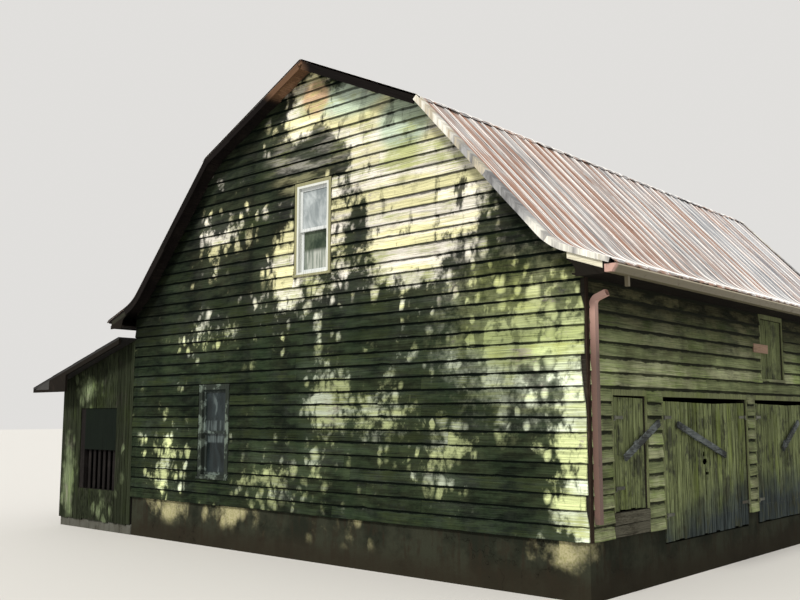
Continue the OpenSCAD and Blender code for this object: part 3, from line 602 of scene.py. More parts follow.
def side_light(place):
    """The side walls' brighter boards, with the shade of the eaves above them."""
    z = parts(place)[2]
    eave = between(z, SILL + 2.1, SILL + 3.3, 1.0, 0.0) * between(z, SILL + 1.9, SILL + 2.2, 0.72, 1.0)
    return eave * between(mottle(place, 1.6, 4, 0.6), 0.35, 0.65, 0.5, 1.0)


def front_light(place):
    """Painted sunlit patches of the front foundation, under the gable's painted sunlight."""
    level = raised((mottle(place, 1.9, 5, 0.62) - 0.5) * 1.5, place, FOUNDATION_SUN_PATCHES)
    lit = larger(sunflecks(place, 3.2, level, 0.36), between(level, 0.45, 0.9))
    return lit * between(parts(place)[1], FRONT + 0.2, FRONT + 0.4, 1.0, 0.0)


def lean_to_light(place, *colors):
    """Painted sunlit patches on the lean-to's front boards, most of them low and to the left. There each
    colour turns into a lit copy up to seven times as bright, so the given colours are the boards in painted
    shade.
    """
    level = raised((mottle(place, 1.9, 5, 0.62) - 0.5) * 1.3, place, LEAN_TO_SUN_PATCHES)
    lit = larger(sunflecks(place, 4.2, level, 0.36), between(level, 0.5, 0.95))
    return [blend(lit, c, tuple(min(0.6, v * 7) for v in c)) for c in colors]


def ridge_light(place, *colors):
    """Brown bare boards at the left of the ridge, in painted sunlight; the near-black colours round them are
    painted shade.
    """
    here = between(zone(place, -0.4, 7.4, 0.75, 0.5), 0.1, 0.5, 0.0, 0.9)
    browns = (0.17, 0.095, 0.055), (0.28, 0.16, 0.095), (0.08, 0.05, 0.035)
    return [blend(here, c, brown) for c, brown in zip(colors, browns)]


# Finishes

def boards_of(place, along, tone, paint, wood, growth, bare, green, streaks):
    """The colour of weathered boards, with their roughness and height beside it."""
    return add("Group", {
        "Along": along, "Place": place, "Tone": tone, "Paint": paint, "Wood": wood,
        "Growth": growth, "Bare": bare, "Green": green, "Streaks": streaks,
    }, node_tree=weathered_boards())


def clapboard_finish(name, pale, white, dark, wood, growth, light, streaks, lap, gable=False):
    """Green-grown clapboards. light makes the mask of their painted sunlight, and outside it their paint,
    wood and growth take painted-shade copies; lap is the shade under each.
    """
    made, place, along, tone = material(name)
    # Mask of painted sunlight; where it is low the boards are in painted shade
    sunlit = light(place)
    washed = mottle(along, 1.0, 4, 0.6, (0.7, 1.6, 1), (2, 2, 2)) * 0.75 + tone * 0.4
    paint = blend(between(washed, 0.48, 0.66), pale, white)
    for *where, color in GABLE_TINTS if gable else ():
        paint = blend(between(zone(place, *where), 0.15, 0.5, 0.0, 0.85), paint, color)
    # Painted shade: outside the sunlit places the paint turns near-black green, olive on the mossy boards
    mossy = between(mottle(along, 1.0, 5, 0.7, (1.6, 0.9, 1), (7, 7, 7)), 0.38, 0.64)
    paint = blend(sunlit, blend(mossy, scaled(dark, 0.8), scaled(dark, (4.2, 3.6, 2.9))), paint)
    if gable:
        low = between(parts(place)[2], SILL + 2.4, SILL + 4.2, 1.0, 0.0)
        paint = shaded(paint, blend(low, (1.0, 0.98, 0.98), (0.88, 1.0, 0.88)))
    # Painted-shade copies of the bare wood and of the growth
    wood = blend(sunlit, scaled(wood, (0.036, 0.052, 0.05)), wood)
    growth = blend(sunlit, scaled(growth, (0.056, 0.072, 0.085)), growth)
    boards = boards_of(place, along, tone, paint, wood, growth, 0.34, 0.5, streaks)
    line = add("Group", {"Along": along, "Place": place, "Lap": lap}, node_tree=lap_lines())
    color = shaded(boards, grey(line.beside("Shade")))
    # Dark lap lines: painted shadow and dirt under each lap, a little fainter in painted sunlight
    color = blend(line * between(sunlit, 0.2, 1.0, 1.0, 0.74), color, scaled(dark, 0.7))
    # Painted shade along the left rake, under the roof's overhang
    if gable:
        edge = larger(zone(place, -5.1, 4.0, 1.3, 1.9), zone(place, -4.2, 5.4, 1.2, 1.5))
        color = shaded(color, (0.42, 0.42, 0.42), between(edge, 0.05, 0.6))
    return finished(made, color, boards.beside("Roughness"), (boards.beside("Height"), 0.6, 0.008))


def grain_along(place, axis):
    """Pattern coordinates with the grain along one axis of the object's own place."""
    at = parts(place)
    a, b = (part for i, part in enumerate(at) if i != axis)
    return add("CombineXYZ", {0: at[axis], 1: (a + b) * 5.0})


def board_finish(name, paint, wood, growth, bare, green, streaks, axis=None, feet=None, light=None):
    """A finish for boards and timber. Without an axis the grain follows each board."""
    made, place, along, tone = material(name)
    if axis is not None:
        along, tone = grain_along(place, axis), 0.5
    if feet:
        _, y, z = parts(place)
        z = z + mottle(place, 2.2, 4, 0.6) * -1.1 + between(y, FRONT + 2.6, FRONT + 5.0, 0.3, -0.2, False)
        paint, growth = (blend(between(z, SILL - 0.6, SILL + 0.25), feet, c) for c in (paint, growth))
    if light:
        paint, wood, growth = light(place, paint, wood, growth)
    boards = boards_of(place, along, tone, paint, wood, growth, bare, green, streaks)
    return finished(made, boards, boards.beside("Roughness"), (boards.beside("Height"), 0.6, 0.006))


def flare_finish(name):
    """Cream paint on the right side's flare boards, near-black on the left side's."""
    made, place, *_ = material(name)
    left = between(parts(place)[0], MIDDLE - 1, MIDDLE + 1)
    paint = blend(left, (0.03, 0.03, 0.022), (0.78, 0.74, 0.58))
    wood = blend(left, (0.03, 0.025, 0.02), (0.5, 0.44, 0.32))
    growth = blend(left, (0.02, 0.02, 0.015), (0.66, 0.64, 0.44))
    boards = boards_of(place, grain_along(place, 0), 0.6, paint, wood, growth, 0.35, 0.3, 0.4)
    return finished(made, boards, relief=(boards.beside("Height"), 0.5, 0.005))


def sash_finish(name, high, low, high_wood, low_wood, bare, casing=None):
    """Window paint: brighter on the gable's upper windows, peeled and grey on the lower ones."""
    made, place, *_ = material(name)
    x, _, z = parts(place)
    up = between(z, SILL + 2.6, SILL + 3.0)
    patch = between(mottle(place, 3.4, 5, 0.65), 0.5, 0.58)
    if casing:
        side = between(work("ABSOLUTE", x - (MIDDLE + 0.03)), 0.386, 0.39)
        ends = between(work("ABSOLUTE", z - (SILL + 4.765)), 0.77, 0.774)
        high = blend(larger(side, ends), high, casing)
    paint = blend(up, blend(patch, scaled(low, 0.5), scaled(low, 2.4)), high)
    growth = blend(up, scaled(low_wood, 1.3), (0.5, 0.51, 0.43))
    wood = blend(up, low_wood, high_wood)
    boards = boards_of(place, grain_along(place, 2), 0.6, paint, wood, growth, bare, 0.25, 0.5)
    return finished(made, boards, relief=(boards.beside("Height"), 0.5, 0.004))


def gutter_finish(name):
    """Pinkish at the front end and on the downspout, tan along the eave, with dirt that runs down."""
    made, place, *_ = material(name, 0.5, 0.25)
    x, y, z = parts(place)
    front = between(y, FRONT - 0.27, FRONT - 0.2, 1.0, 0.0)
    pipe = between(x, MIDDLE + HALF + 0.36, MIDDLE + HALF + 0.4, 1.0, 0.0)
    pink = blend(between(z, SILL + 2.2, SILL + 3.3, 0.0, 1.0), (0.13, 0.078, 0.063), (0.5, 0.31, 0.26))
    tan = blend(between(z, SILL + 3.478, SILL + 3.484), (0.145, 0.126, 0.08), (0.45, 0.4, 0.29))
    color = blend(larger(front, pipe), tan, pink)
    color = add("Group", {
        "Place": place, "Color": color, "Dirt": (0.07, 0.055, 0.045), "Amount": 0.3,
    }, node_tree=grime())
    return finished(made, color, between(color.beside("Mask"), 0, 1, 0.45, 0.8, False))


def sheet_finish(name, metal, stain, rust, worn, rusty, kind="flat"):
    """Sheet metal. Ribbed sheets rust beside their ribs, a greyed strip is greyer and darker halfway up the
    slope, and turned sheets are streaked from left to right, down the lean-to."""
    made, place, along, tone = material(name, 0.55, 0.3)
    rib, pan = 0.0, 0.5
    if kind == "ribbed":
        rib = attribute(made, "rib")
        across, run, _ = parts(along)
        pan = work("FRACT", across / RIB_REPEAT)
        far = between(parts(place)[1], FRONT + 2.5, FRONT + 11.0)
        metal = blend(far, metal, scaled(metal, (0.97, 1.05, 1.16)))
        stain = blend(far, stain, scaled(stain, (0.95, 1.05, 1.2)))
        rusty = between(far, 0.0, 1.0, rusty, rusty - 0.16)
    elif kind == "turned":
        x, y, _ = parts(place)
        along = add("CombineXYZ", {0: y, 1: x})
    else:
        along = place
    if kind == "greyed":
        z = parts(place)[2] + mottle(place, 2.5, 4, 0.6) * 1.2
        middle = between(z, SILL + 4.5, SILL + 4.8) * between(z, SILL + 5.9, SILL + 6.4, 1.0, 0.0)
        metal = blend(middle, metal, (0.4, 0.4, 0.4))
        stain = blend(middle, stain, (0.07, 0.07, 0.075))
    sheet = add("Group", {
        "Along": along, "Place": place, "Tone": tone, "Rib": rib, "Pan": pan,
        "Metal": metal, "Stain": stain, "Rust": rust, "Rusty": rusty, "Wear and glint": worn,
    }, node_tree=rusted_sheet())
    color = sheet
    if kind == "ribbed":
        eave = line_length(ROOF_LINE)
        color = blend(between(run, eave + 0.025, eave + 0.045, 0.0, 0.9), sheet, (0.12, 0.075, 0.05))
    relief = sheet.beside("Height"), 0.25, 0.003
    return finished(made, color, sheet.beside("Roughness"), relief, sheet.beside("Bare") * 0.35)


def masonry_finish(name, face, low, dirt, light=None):
    """Stucco or blocks with growth, cracks and splashes of earth near the ground, and painted sunlit patches
    where light is given.
    """
    made, place, *_ = material(name, 0.92)
    rough = mottle(place, 26.0, 6, 0.7)
    patches = mottle(place, 1.6, 5, 0.62)
    color = blend(between(patches, 0.4, 0.62), face, low)
    color = add("Group", {"Place": place, "Color": color, "Dirt": dirt, "Amount": 0.55}, node_tree=grime())
    z = parts(place)[2]
    color = blend(between(z + patches * -0.5, -0.1, 0.22, 0.75, 0.0), color, dirt)
    bent = moved(place, add("TexNoise", {"Vector": place, "Scale": 2.6, "Detail": 5.0}, 1))
    crack = add("TexVoronoi", {"Vector": bent, "Scale": 0.9}, feature="DISTANCE_TO_EDGE")
    crack = between(crack, 0.0, 0.006, 0.8, 0.0) * between(patches, 0.5, 0.56)
    color = blend(crack, color, scaled(dirt, 0.3))
    if light:
        # Painted sunlight: a pale lit colour over the light's patches, fading out near the ground
        sunlit = blend(between(rough, 0.35, 0.6), (0.3, 0.29, 0.13), (0.46, 0.42, 0.25))
        color = blend(light(place) * 0.85 * between(z, 0.25, 0.5), color, sunlit)
    return finished(made, color, relief=(rough - crack, 0.6, 0.008))


def glass_finish(name):
    """Old dusty glass: pale and blind in the upper windows' top sash, darker below, patchy low down."""
    made, place, *_ = material(name, 0.12, 0.1)
    z = parts(place)[2]
    haze = mottle(place, 3.0, 5, 0.6, (1, 1, 0.6), None, 0.6)
    film = between(haze, 0.35, 0.65)
    streaks = between(mottle(place, 2.0, 4, 0.6, (9, 9, 0.7)), 0.4, 0.6)
    pale = blend(film, (0.2, 0.23, 0.24), (0.46, 0.5, 0.51))
    curtain = blend(streaks, (0.16, 0.19, 0.16), (0.4, 0.42, 0.38))
    green = blend(film, (0.018, 0.03, 0.02), (0.085, 0.11, 0.075))
    high = blend(between(z, SILL + 4.35, SILL + 4.45), curtain, green)
    high = blend(between(z, SILL + 4.74, SILL + 4.76), high, pale)
    clear = larger(between(z, SILL + 1.1, SILL + 1.14, 1.0, 0.0), between(z, SILL + 1.5, SILL + 1.54))
    clear = clear * between(haze, 0.62, 0.68, 1.0, 0.0)
    dusty = blend(streaks, (0.014, 0.02, 0.02), (0.075, 0.095, 0.095))
    low = blend(clear, dusty, blend(film, (0.007, 0.01, 0.01), (0.02, 0.028, 0.03)))
    color = blend(between(z, SILL + 3.5, SILL + 3.6), low, high)
    return finished(made, color, between(film, 0.0, 1.0, 0.1, 0.35))


# What each finish is made with, in the order that its function takes it
LOOKS = {
    clapboard_finish: {
        # Each clapboard look's third colour is its painted shade, taken outside its painted light
        "gable_clapboards": (
            (0.84, 0.82, 0.47), (0.97, 0.94, 0.84), (0.0052, 0.0089, 0.0062),
            (0.45, 0.41, 0.35), (0.4, 0.44, 0.15), gable_light, 0.75, 0.035, True),
        "side_clapboards": (
            (0.34, 0.4, 0.19), (0.45, 0.48, 0.28), (0.02, 0.0225, 0.0145),
            (0.2, 0.2, 0.13), (0.28, 0.36, 0.12), side_light, 0.85, 0.11),
    },
    board_finish: {
        "door_boards": (
            (0.185, 0.215, 0.098), (0.06, 0.066, 0.042), (0.17, 0.21, 0.06), 0.48, 0.5, 1.0, None,
            (0.05, 0.063, 0.063)),
        "lean_to_boards": (
            (0.025, 0.031, 0.017), (0.03, 0.031, 0.022), (0.026, 0.035, 0.013), 0.4, 0.45, 1.0, None, None,
            lean_to_light),
        # The boarding and the rake boards are near-black with painted shade; ridge_light gives them painted
        # sunlit brown at the ridge
        "roof_boarding": (
            (0.01, 0.008, 0.0075), (0.018, 0.014, 0.012), (0.008, 0.007, 0.006), 0.45, 0.4, 0.5, 1, None,
            ridge_light),
        "rake_wood": (
            (0.01, 0.008, 0.0075), (0.03, 0.021, 0.016), (0.009, 0.009, 0.007), 0.25, 0.4, 0.6, None, None,
            ridge_light),
        "bare_timber": ((0.2, 0.14, 0.085), (0.11, 0.08, 0.05), (0.12, 0.1, 0.06), 0.45, 0.3, 0.5, 0),
        "dark_slats": ((0.012, 0.0105, 0.01), (0.02, 0.017, 0.016), (0.01, 0.009, 0.008), 0.45, 0.3, 0.5, 2),
        "wall_boarding": (
            (0.02, 0.018, 0.014), (0.035, 0.03, 0.024), (0.02, 0.024, 0.012), 0.45, 0.3, 0.5, 0),
        # Near-black, painted shade where it closes the boxed eaves' ends
        "dark_trim": ((0.012, 0.01, 0.008), (0.028, 0.021, 0.017), (0.012, 0.012, 0.009), 0.35, 0.4, 0.5, 1),
        # Dark reddish brown with painted shade on the corner boards
        "corner_trim": ((0.03, 0.021, 0.015), (0.075, 0.05, 0.037), (0.022, 0.022, 0.013), 0.4, 0.3, 0.8, 2),
        "green_trim": ((0.18, 0.2, 0.1), (0.1, 0.1, 0.065), (0.15, 0.18, 0.06), 0.4, 0.5, 0.9, 2),
        "weathered_bars": ((0.15, 0.17, 0.17), (0.05, 0.054, 0.052), (0.09, 0.1, 0.075), 0.55, 0.3, 1.05, 1),
        "old_boards": ((0.12, 0.115, 0.085), (0.05, 0.045, 0.032), (0.06, 0.075, 0.03), 0.5, 0.3, 1.0),
        "pink_board": ((0.34, 0.23, 0.165), (0.2, 0.145, 0.105), (0.25, 0.19, 0.13), 0.4, 0.3, 0.6),
        "dark_panel": (
            (0.006, 0.009, 0.0065), (0.009, 0.011, 0.008), (0.007, 0.011, 0.007), 0.3, 0.4, 0.5, 2),
    },
    flare_finish: {"flare_paint": ()},
    sash_finish: {
        "white_paint": (
            (0.68, 0.71, 0.71), (0.06, 0.075, 0.068), (0.45, 0.42, 0.34), (0.036, 0.042, 0.032), 0.15),
        "window_casing": (
            (0.7, 0.72, 0.68), (0.055, 0.068, 0.056), (0.4, 0.38, 0.3), (0.038, 0.044, 0.03), 0.25,
            (0.3, 0.29, 0.165)),
    },
    gutter_finish: {"gutter_metal": ()},
    sheet_finish: {
        "roof_metal": (
            (0.48, 0.465, 0.46), (0.15, 0.15, 0.165), (0.38, 0.2, 0.13), (0.96, 0.94, 0.92), 0.6, "ribbed"),
        "rake_metal": (
            (0.85, 0.83, 0.75), (0.26, 0.25, 0.26), (0.5, 0.45, 0.34), (0.92, 0.92, 0.84), 0.3, "greyed"),
        "ridge_metal": ((0.5, 0.5, 0.49), (0.22, 0.23, 0.26), (0.34, 0.19, 0.12), (0.9, 0.9, 0.88), 0.55),
        "lean_to_roofing": (
            (0.03, 0.028, 0.027), (0.017, 0.016, 0.016), (0.035, 0.023, 0.016), (0.1, 0.1, 0.1), 0.45,
            "turned"),
        "hinge_iron": (
            (0.11, 0.115, 0.085), (0.03, 0.03, 0.024), (0.06, 0.048, 0.03), (0.15, 0.15, 0.12), 0.5),
    },
    masonry_finish: {
        # The stucco's dark colours hold dirt, growth and painted shade; front_light paints sunlit patches
        # over them
        "foundation_stucco": (
            (0.029, 0.031, 0.021), (0.014, 0.016, 0.011), (0.022, 0.018, 0.012), front_light),
        "grey_blocks": ((0.2, 0.21, 0.19), (0.12, 0.125, 0.11), (0.06, 0.057, 0.045)),
    },
    glass_finish: {"window_glass": ()},
}
FINISHES = {
    name: cache(partial(make, name, *look)) for make, looks in LOOKS.items() for name, look in looks.items()
}

# Finishes of the nodes whose shown faces look different from the rest of their slot
FRAME_FINISHES = {
    "roof_boarding": ("roof_upper", "roof_lower", "eave_flare"),
    "wall_boarding": ("front_gable", "back_gable", "left_wall", "right_wall"),
    "corner_trim": ("corner_boards",),
    "window_casing": ("window_frames",),
    "flare_paint": ("flare_boards",),
    "dark_slats": ("lean_to_front", "lean_to_back", "lean_to_left", "lean_to_slats"),
    "dark_trim": ("lean_to_rafters",),
}


# Sizes and looks that a user may change

class ClapboardSettings(bpy.types.PropertyGroup):
    exposure: FloatProperty(
        name="Exposure", description="Height of each board that shows", default=0.2, unit="LENGTH")
    lap: FloatProperty(
        name="Lap", description="Height of each board behind the next", default=0.014, unit="LENGTH")
    butt: FloatProperty(
        name="Butt", description="Reach of a board's lower edge from the wall", default=0.028, unit="LENGTH")
    head: FloatProperty(
        name="Head", description="Thickness of a board's upper edge", default=0.005, unit="LENGTH")
    warp: FloatProperty(
        name="Warp", description="Wandering of the boards' lower edges", default=0.007, unit="LENGTH")
    seed: IntProperty(name="Seed", description="Pattern of joints and loose boards", default=4)


class RoofSheetSettings(bpy.types.PropertyGroup):
    cover: FloatProperty(
        name="Cover", description="Width of roof that one sheet covers", default=0.61, unit="LENGTH")
    rib_h: FloatProperty(
        name="Rib height", description="Height of the pressed ribs", default=0.018, unit="LENGTH")
    rib_w: FloatProperty(
        name="Rib width", description="Width of a rib at its foot", default=0.036, unit="LENGTH")
    thickness: FloatProperty(
        name="Thickness", description="Thickness of the sheets", default=0.0015, unit="LENGTH")
    overhang: FloatProperty(
        name="Overhang", description="Greatest reach of the sheets past the roof edge",
        default=0.085, unit="LENGTH")
    ragged: FloatProperty(
        name="Ragged", description="Unevenness of the sheets' ends", default=0.012, unit="LENGTH")
    droop: FloatProperty(name="Droop", description="Sag of the sheets' ends", default=0.026, unit="LENGTH")
    seed: IntProperty(name="Seed", description="Pattern of the sheets' ends and tones", default=11)


class DoorSettings(bpy.types.PropertyGroup):
    board: FloatProperty(name="Board", description="Width of the door boards", default=0.145, unit="LENGTH")
    gap: FloatProperty(name="Gap", description="Gap between the door boards", default=0.022, unit="LENGTH")
    sag: FloatProperty(
        name="Sag", description="Drop of each leaf's top from its hinges to its free edge",
        default=0.022, unit="LENGTH")
    hole_in: FloatProperty(
        name="Hole place", description="Distance of the hand hole from its door's hinge edge",
        default=1.4, unit="LENGTH")
    hole_up: FloatProperty(
        name="Hole height", description="Height of the hand hole above the sills", default=0.9, unit="LENGTH")
    hole_r: FloatProperty(
        name="Hole radius", description="Half height of the hand hole", default=0.046, unit="LENGTH")
    hole_w: FloatProperty(
        name="Hole half width", description="Half width of the hand hole", default=0.08, unit="LENGTH")
    ragged: FloatProperty(
        name="Ragged", description="Unevenness of the boards' ends", default=0.022, unit="LENGTH")
    seed: IntProperty(name="Seed", description="Pattern of the door boards", default=7)


class LeanToSettings(bpy.types.PropertyGroup):
    board: FloatProperty(
        name="Board", description="Width of the lean-to's boards", default=0.2, unit="LENGTH")
    gap: FloatProperty(
        name="Gap", description="Gap between the lean-to's boards", default=0.012, unit="LENGTH")
    thickness: FloatProperty(
        name="Thickness", description="Thickness of the lean-to's boards", default=0.022, unit="LENGTH")
    seed: IntProperty(name="Seed", description="Pattern of the lean-to's boards", default=3)


class StageSettings(bpy.types.PropertyGroup):
    floor: FloatVectorProperty(
        name="Floor", description="Colour of the floor", default=(0.62, 0.61, 0.59), subtype="COLOR")
    sky: FloatProperty(name="Fill light", description="Strength of the light from all round", default=0.75)
    sun: FloatProperty(name="Key light", description="Strength of the key light", default=2.9)
    lens: FloatProperty(name="Lens", description="Focal length on a 36 mm sensor", default=41.94)


# Pieces

def cut_round(span, opening):
    """Parts of a board beside, under and over an opening."""
    (u0, u1, z0, z1), (a, b, c, d) = span, opening
    if b <= u0 or a >= u1 or d <= z0 or c >= z1:
        return [span]
    left, right = max(u0, a), min(u1, b)
    return [part for size, part in (
        (a - u0, (u0, a, z0, z1)), (u1 - b, (b, u1, z0, z1)),
        (c - z0, (left, right, z0, c)), (z1 - d, (left, right, d, z1)),
    ) if size > LEAST]


def clapboard(bm, face, foot, crown, z0, z1, rng, look, step, base, rough):
    """One lapped board. foot and crown hold its left and right ends below and above."""
    seed, tone = rng.uniform(0, 90), rng.random()
    loose = rng.random() < 0.1
    lift = [rng.uniform(0.0, 0.014 if loose else 0.003) for _ in range(2)]
    drop = [rng.gauss(0, 0.0025) - (rng.uniform(0, 0.014) if loose else 0) for _ in range(2)]
    warp = rough * look.warp

    def place(s, t, d):
        u = lerp(lerp(foot[0], crown[0], t), lerp(foot[1], crown[1], t), s)
        z = lerp(z0, z1, t)
        out = -0.001
        if d > 0.5:
            out = lerp(look.butt + 0.008 * (rough - 1), look.head, min(1.0, (z - base) / look.exposure))
            out += lerp(*lift, s) * (1 - t) + 0.003 * wave(u * 0.8, z * 2, seed) * (1 - t)
        if t < 0.5 and z0 <= base + 0.001:
            z += lerp(*drop, s) + warp * wave(u * 0.45, seed, 1.5) + 0.5 * warp * wave(u * 3.1, seed, 7.5)
            z += max(0.0, 0.035 * wave(u * 4.7, seed, 3.3) - 0.012)
        return face.at(u, out, z)

    def uv(s, t):
        return lerp(*foot, s), (lerp(z0, z1, t) - base) / look.exposure

    plank(bm, max(0, ceil((foot[1] - foot[0]) / step) - 1), place, uv, tone)


def lay_clapboards(look, face, openings, top, width_at, step, rng, joints=(), rough=1.0):
    """Lapped boards over a wall, cut round its openings and to its ends' slope. rough scales their warp."""
    bm, gap = new_mesh(), 0.0015
    for k in range(ceil(top / look.exposure)):
        base = k * look.exposure
        head = min(base + look.exposure + look.lap, top)
        if head - base < 0.03:
            continue
        left, right = width_at(base)
        spans = [(left, right, base, head)]
        for opening in openings:
            spans = [part for span in spans for part in cut_round(span, opening)]
        for u0, u1, z0, z1 in spans:
            cuts = [u0] + [at for course, at in joints if course == k and u0 + 0.3 < at < u1 - 0.3]
            u = u0 + rng.uniform(2.2, 5.2)
            while u < u1 - 1.2 and z1 - z0 > 0.1:
                if all(abs(u - c) > 1.0 for c in cuts):
                    cuts.append(u)
                u += rng.uniform(2.6, 5.4)
            cuts = sorted(cuts) + [u1]
            far_left, far_right = width_at(z1)
            for a, b in zip(cuts, cuts[1:]):
                foot = (a + (0 if a == u0 else gap), b - (0 if b == u1 else gap))
                crown = (max(a, far_left) if a == left else foot[0],
                         min(b, far_right) if b == right else foot[1])
                if crown[1] - crown[0] >= LEAST:
                    clapboard(bm, face, foot, crown, z0, z1, rng, look, step, base, rough)
    return bm


def gable_ends(z):
    return HALF - half_at(z), HALF + half_at(z)


class BARN_OT_clapboards(bpy.types.Operator):
    """Lays the lapped boards over the barn's four walls"""
    bl_idname = "barn.clapboards"
    bl_label = "Clapboards"

    def front_ends(self, z):
        """Ends of the front gable's boards: ragged at the right corner and broken away in places."""
        left, right = gable_ends(z)
        if z < PLATE - 0.1:
            right -= 0.003 + 0.035 * abs(wave(z * 7, 2.0, 1.0))
            for at, half, deep in ((0.5, 0.1, 0.04), (2.1, 0.2, 0.045), (3.2, 0.1, 0.04)):
                if abs(z - at) < half:
                    right -= deep
        return left, right

    def execute(self, context):
        look = context.scene.barn_clapboards
        rng = random.Random(look.seed)
        windows = solids("window_frames")
        front = [FRONT_FACE.span(*w) for w in windows if w[0].y < 0]
        back = [BACK_FACE.span(*w) for w in windows if w[0].y > 0]
        casings = [RIGHT_FACE.span(*c) for c in solids("opening_casings")]
        start, end, sill, _ = min(casings)
        casings.append((start, end, 0.0, sill))
        gable, wall = GABLE_LINE[0].y - SILL - 0.02, PLATE - 0.02
        inset, length = 0.07, RIGHT_FACE.length
        # Courses with a board joint where the photo shows one
        joints = (29, 5.72), (28, 5.72), (17, 5.9)

        def right_ends(z):
            return inset, length - inset

        for name, slot, face, openings, top, ends, step, more in (
            ("front", "gable", FRONT_FACE, front, gable, self.front_ends, 0.1, {"joints": joints}),
            ("back", "gable", BACK_FACE, back, gable, gable_ends, 0.25, {}),
            ("right", "side", RIGHT_FACE, casings, wall, right_ends, 0.1, {"rough": 1.7}),
            ("left", "side", LEFT_FACE, [], wall, lambda z: (0, length), 0.4, {}),
        ):
            bm = lay_clapboards(look, face, openings, top, ends, step, rng, **more)
            finish_piece(bm, f"{name}_clapboards", f"{slot}_clapboards")
        self.threshold(rng, start + 0.006, end - 0.006, (sill - 0.012) / 2)
        return {"FINISHED"}

    def threshold(self, rng, start, end, high):
        """Two boards under the small door."""
        bm = new_mesh()
        for k in range(2):
            a, b = (RIGHT_FACE.at(u, -0.001, 0.012 + k * high) for u in (start, end))
            depth = RIGHT_FACE.outward * (0.022 + 0.006 * k)
            beam(bm, a, b, UP * (high - 0.008), depth, rng.random(), 8, 0.003)
        finish_piece(bm, "threshold_boards", "door_boards", ["old_boards"])


def path_stations(points, step, extra=0.0):
    """Points along a roof line with their outward directions and distances, no further apart than step."""
    points = list(points)
    if extra:
        points.append(points[-1] + (points[-1] - points[-2]).normalized() * extra)
    ways = [(b - a).normalized() for a, b in zip(points, points[1:])]
    stations, run = [], 0.0
    for i, (a, b) in enumerate(zip(points, points[1:])):
        n = max(1, ceil((b - a).length / step))
        for j in range(n + (i == len(points) - 2)):
            way = ways[i]
            if j == 0 and i:
                way = (ways[i - 1] + ways[i]).normalized()
            at = a.lerp(b, j / n)
            stations.append((at, Vector((-way.y, way.x)), run + (b - a).length * j / n))
        run += (b - a).length
    return stations


def lay_sheet(bm, side, stations, number, front, cover, look, tone, seed, start):
    """One pressed sheet down the slope, with two ribs at each edge and one in the middle."""
    w, lap = look.rib_w / 2, 0.05
    y0 = front + number * cover
    profile = [(-lap, 0.0)]
    for centre in (-RIB_INSET, RIB_INSET, cover / 2, cover - RIB_INSET, cover + RIB_INSET):
        profile += [(centre - w, 0.0), (centre, 1.0), (centre + w, 0.0)]
        if 0 < centre < cover - RIB_INSET * 1.25:
            profile.append((centre + cover / 4, 0.0))
    profile.append((cover + lap, 0.0))
    columns, rows = len(profile), len(stations)

    def place(i, j):
        (across, rib), (at, normal, run) = profile[i], stations[j]
        out = 0.002 + rib * look.rib_h + 0.003 * (1 - across / cover)
        if not rib:
            edge = 0.3 if i in (0, columns - 1) else 1
            out += 0.003 * (1 + wave(y0 + across * 3, run * 1.6, seed)) * edge
        if j == rows - 1:
            out += look.droop * wave(seed, i * 0.4, 8.0) - look.droop
            at = at + Vector((normal.y, -normal.x)) * look.ragged * wave(seed, i * 1.3, 4.0)
        spot = at + normal * out
        y = y0 + across + 0.004 * wave(run * 0.5, seed, 2.0)
        uv = ((number + across / cover) * SHEET_PATTERN, start + run)
        return (MIDDLE + side * spot.x, y, spot.y), uv, rib

    faces = sheet_strip(bm, columns, rows, place, tone)
    normal, face = stations[0][1], next(iter(faces))
    face.normal_update()
    if face.normal.x * side * normal.x + face.normal.z * normal.y < 0:
        bmesh.ops.reverse_faces(bm, faces=list(faces))


class BARN_OT_roof_sheets(bpy.types.Operator):
    """Lays the ribbed sheets on both sides of the roof in two rows"""
    bl_idname = "barn.roof_sheets"
    bl_label = "Roof sheets"

    def execute(self, context):
        look = context.scene.barn_roof
        rng = random.Random(look.seed)
        low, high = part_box("roof_upper_right")
        count = round((high.y - low.y) / look.cover)
        cover = (high.y - low.y) / count
        for side, name in ((1, "right"), (-1, "left")):
            for row in ("lower", "upper"):
                bm = new_mesh()
                for i in range(count):
                    past = rng.uniform(0.6, 1.0) * look.overhang
                    if row == "lower":
                        stations = path_stations(ROOF_LINE[1:], 0.45, past)
                        start = line_length(ROOF_LINE[:2])
                    else:
                        stations = path_stations(ROOF_LINE[:2], 0.4, 0.03 + past)
                        stations = [(at + n * ROW_LIFT, n, run) for at, n, run in stations]
                        start = 0.0
                    tone, seed = rng.random(), rng.uniform(0, 50)
                    lay_sheet(bm, side, stations, i, low.y, cover, look, tone, seed, start)
                thicken(bm, -look.thickness)
                for v in bm.verts:
                    v.co.y = min(max(v.co.y, low.y - 0.02), high.y + 0.02)
                finish_piece(bm, f"roof_sheets_{name}_{row}", "roof_metal", normals=False)
        return {"FINISHED"}


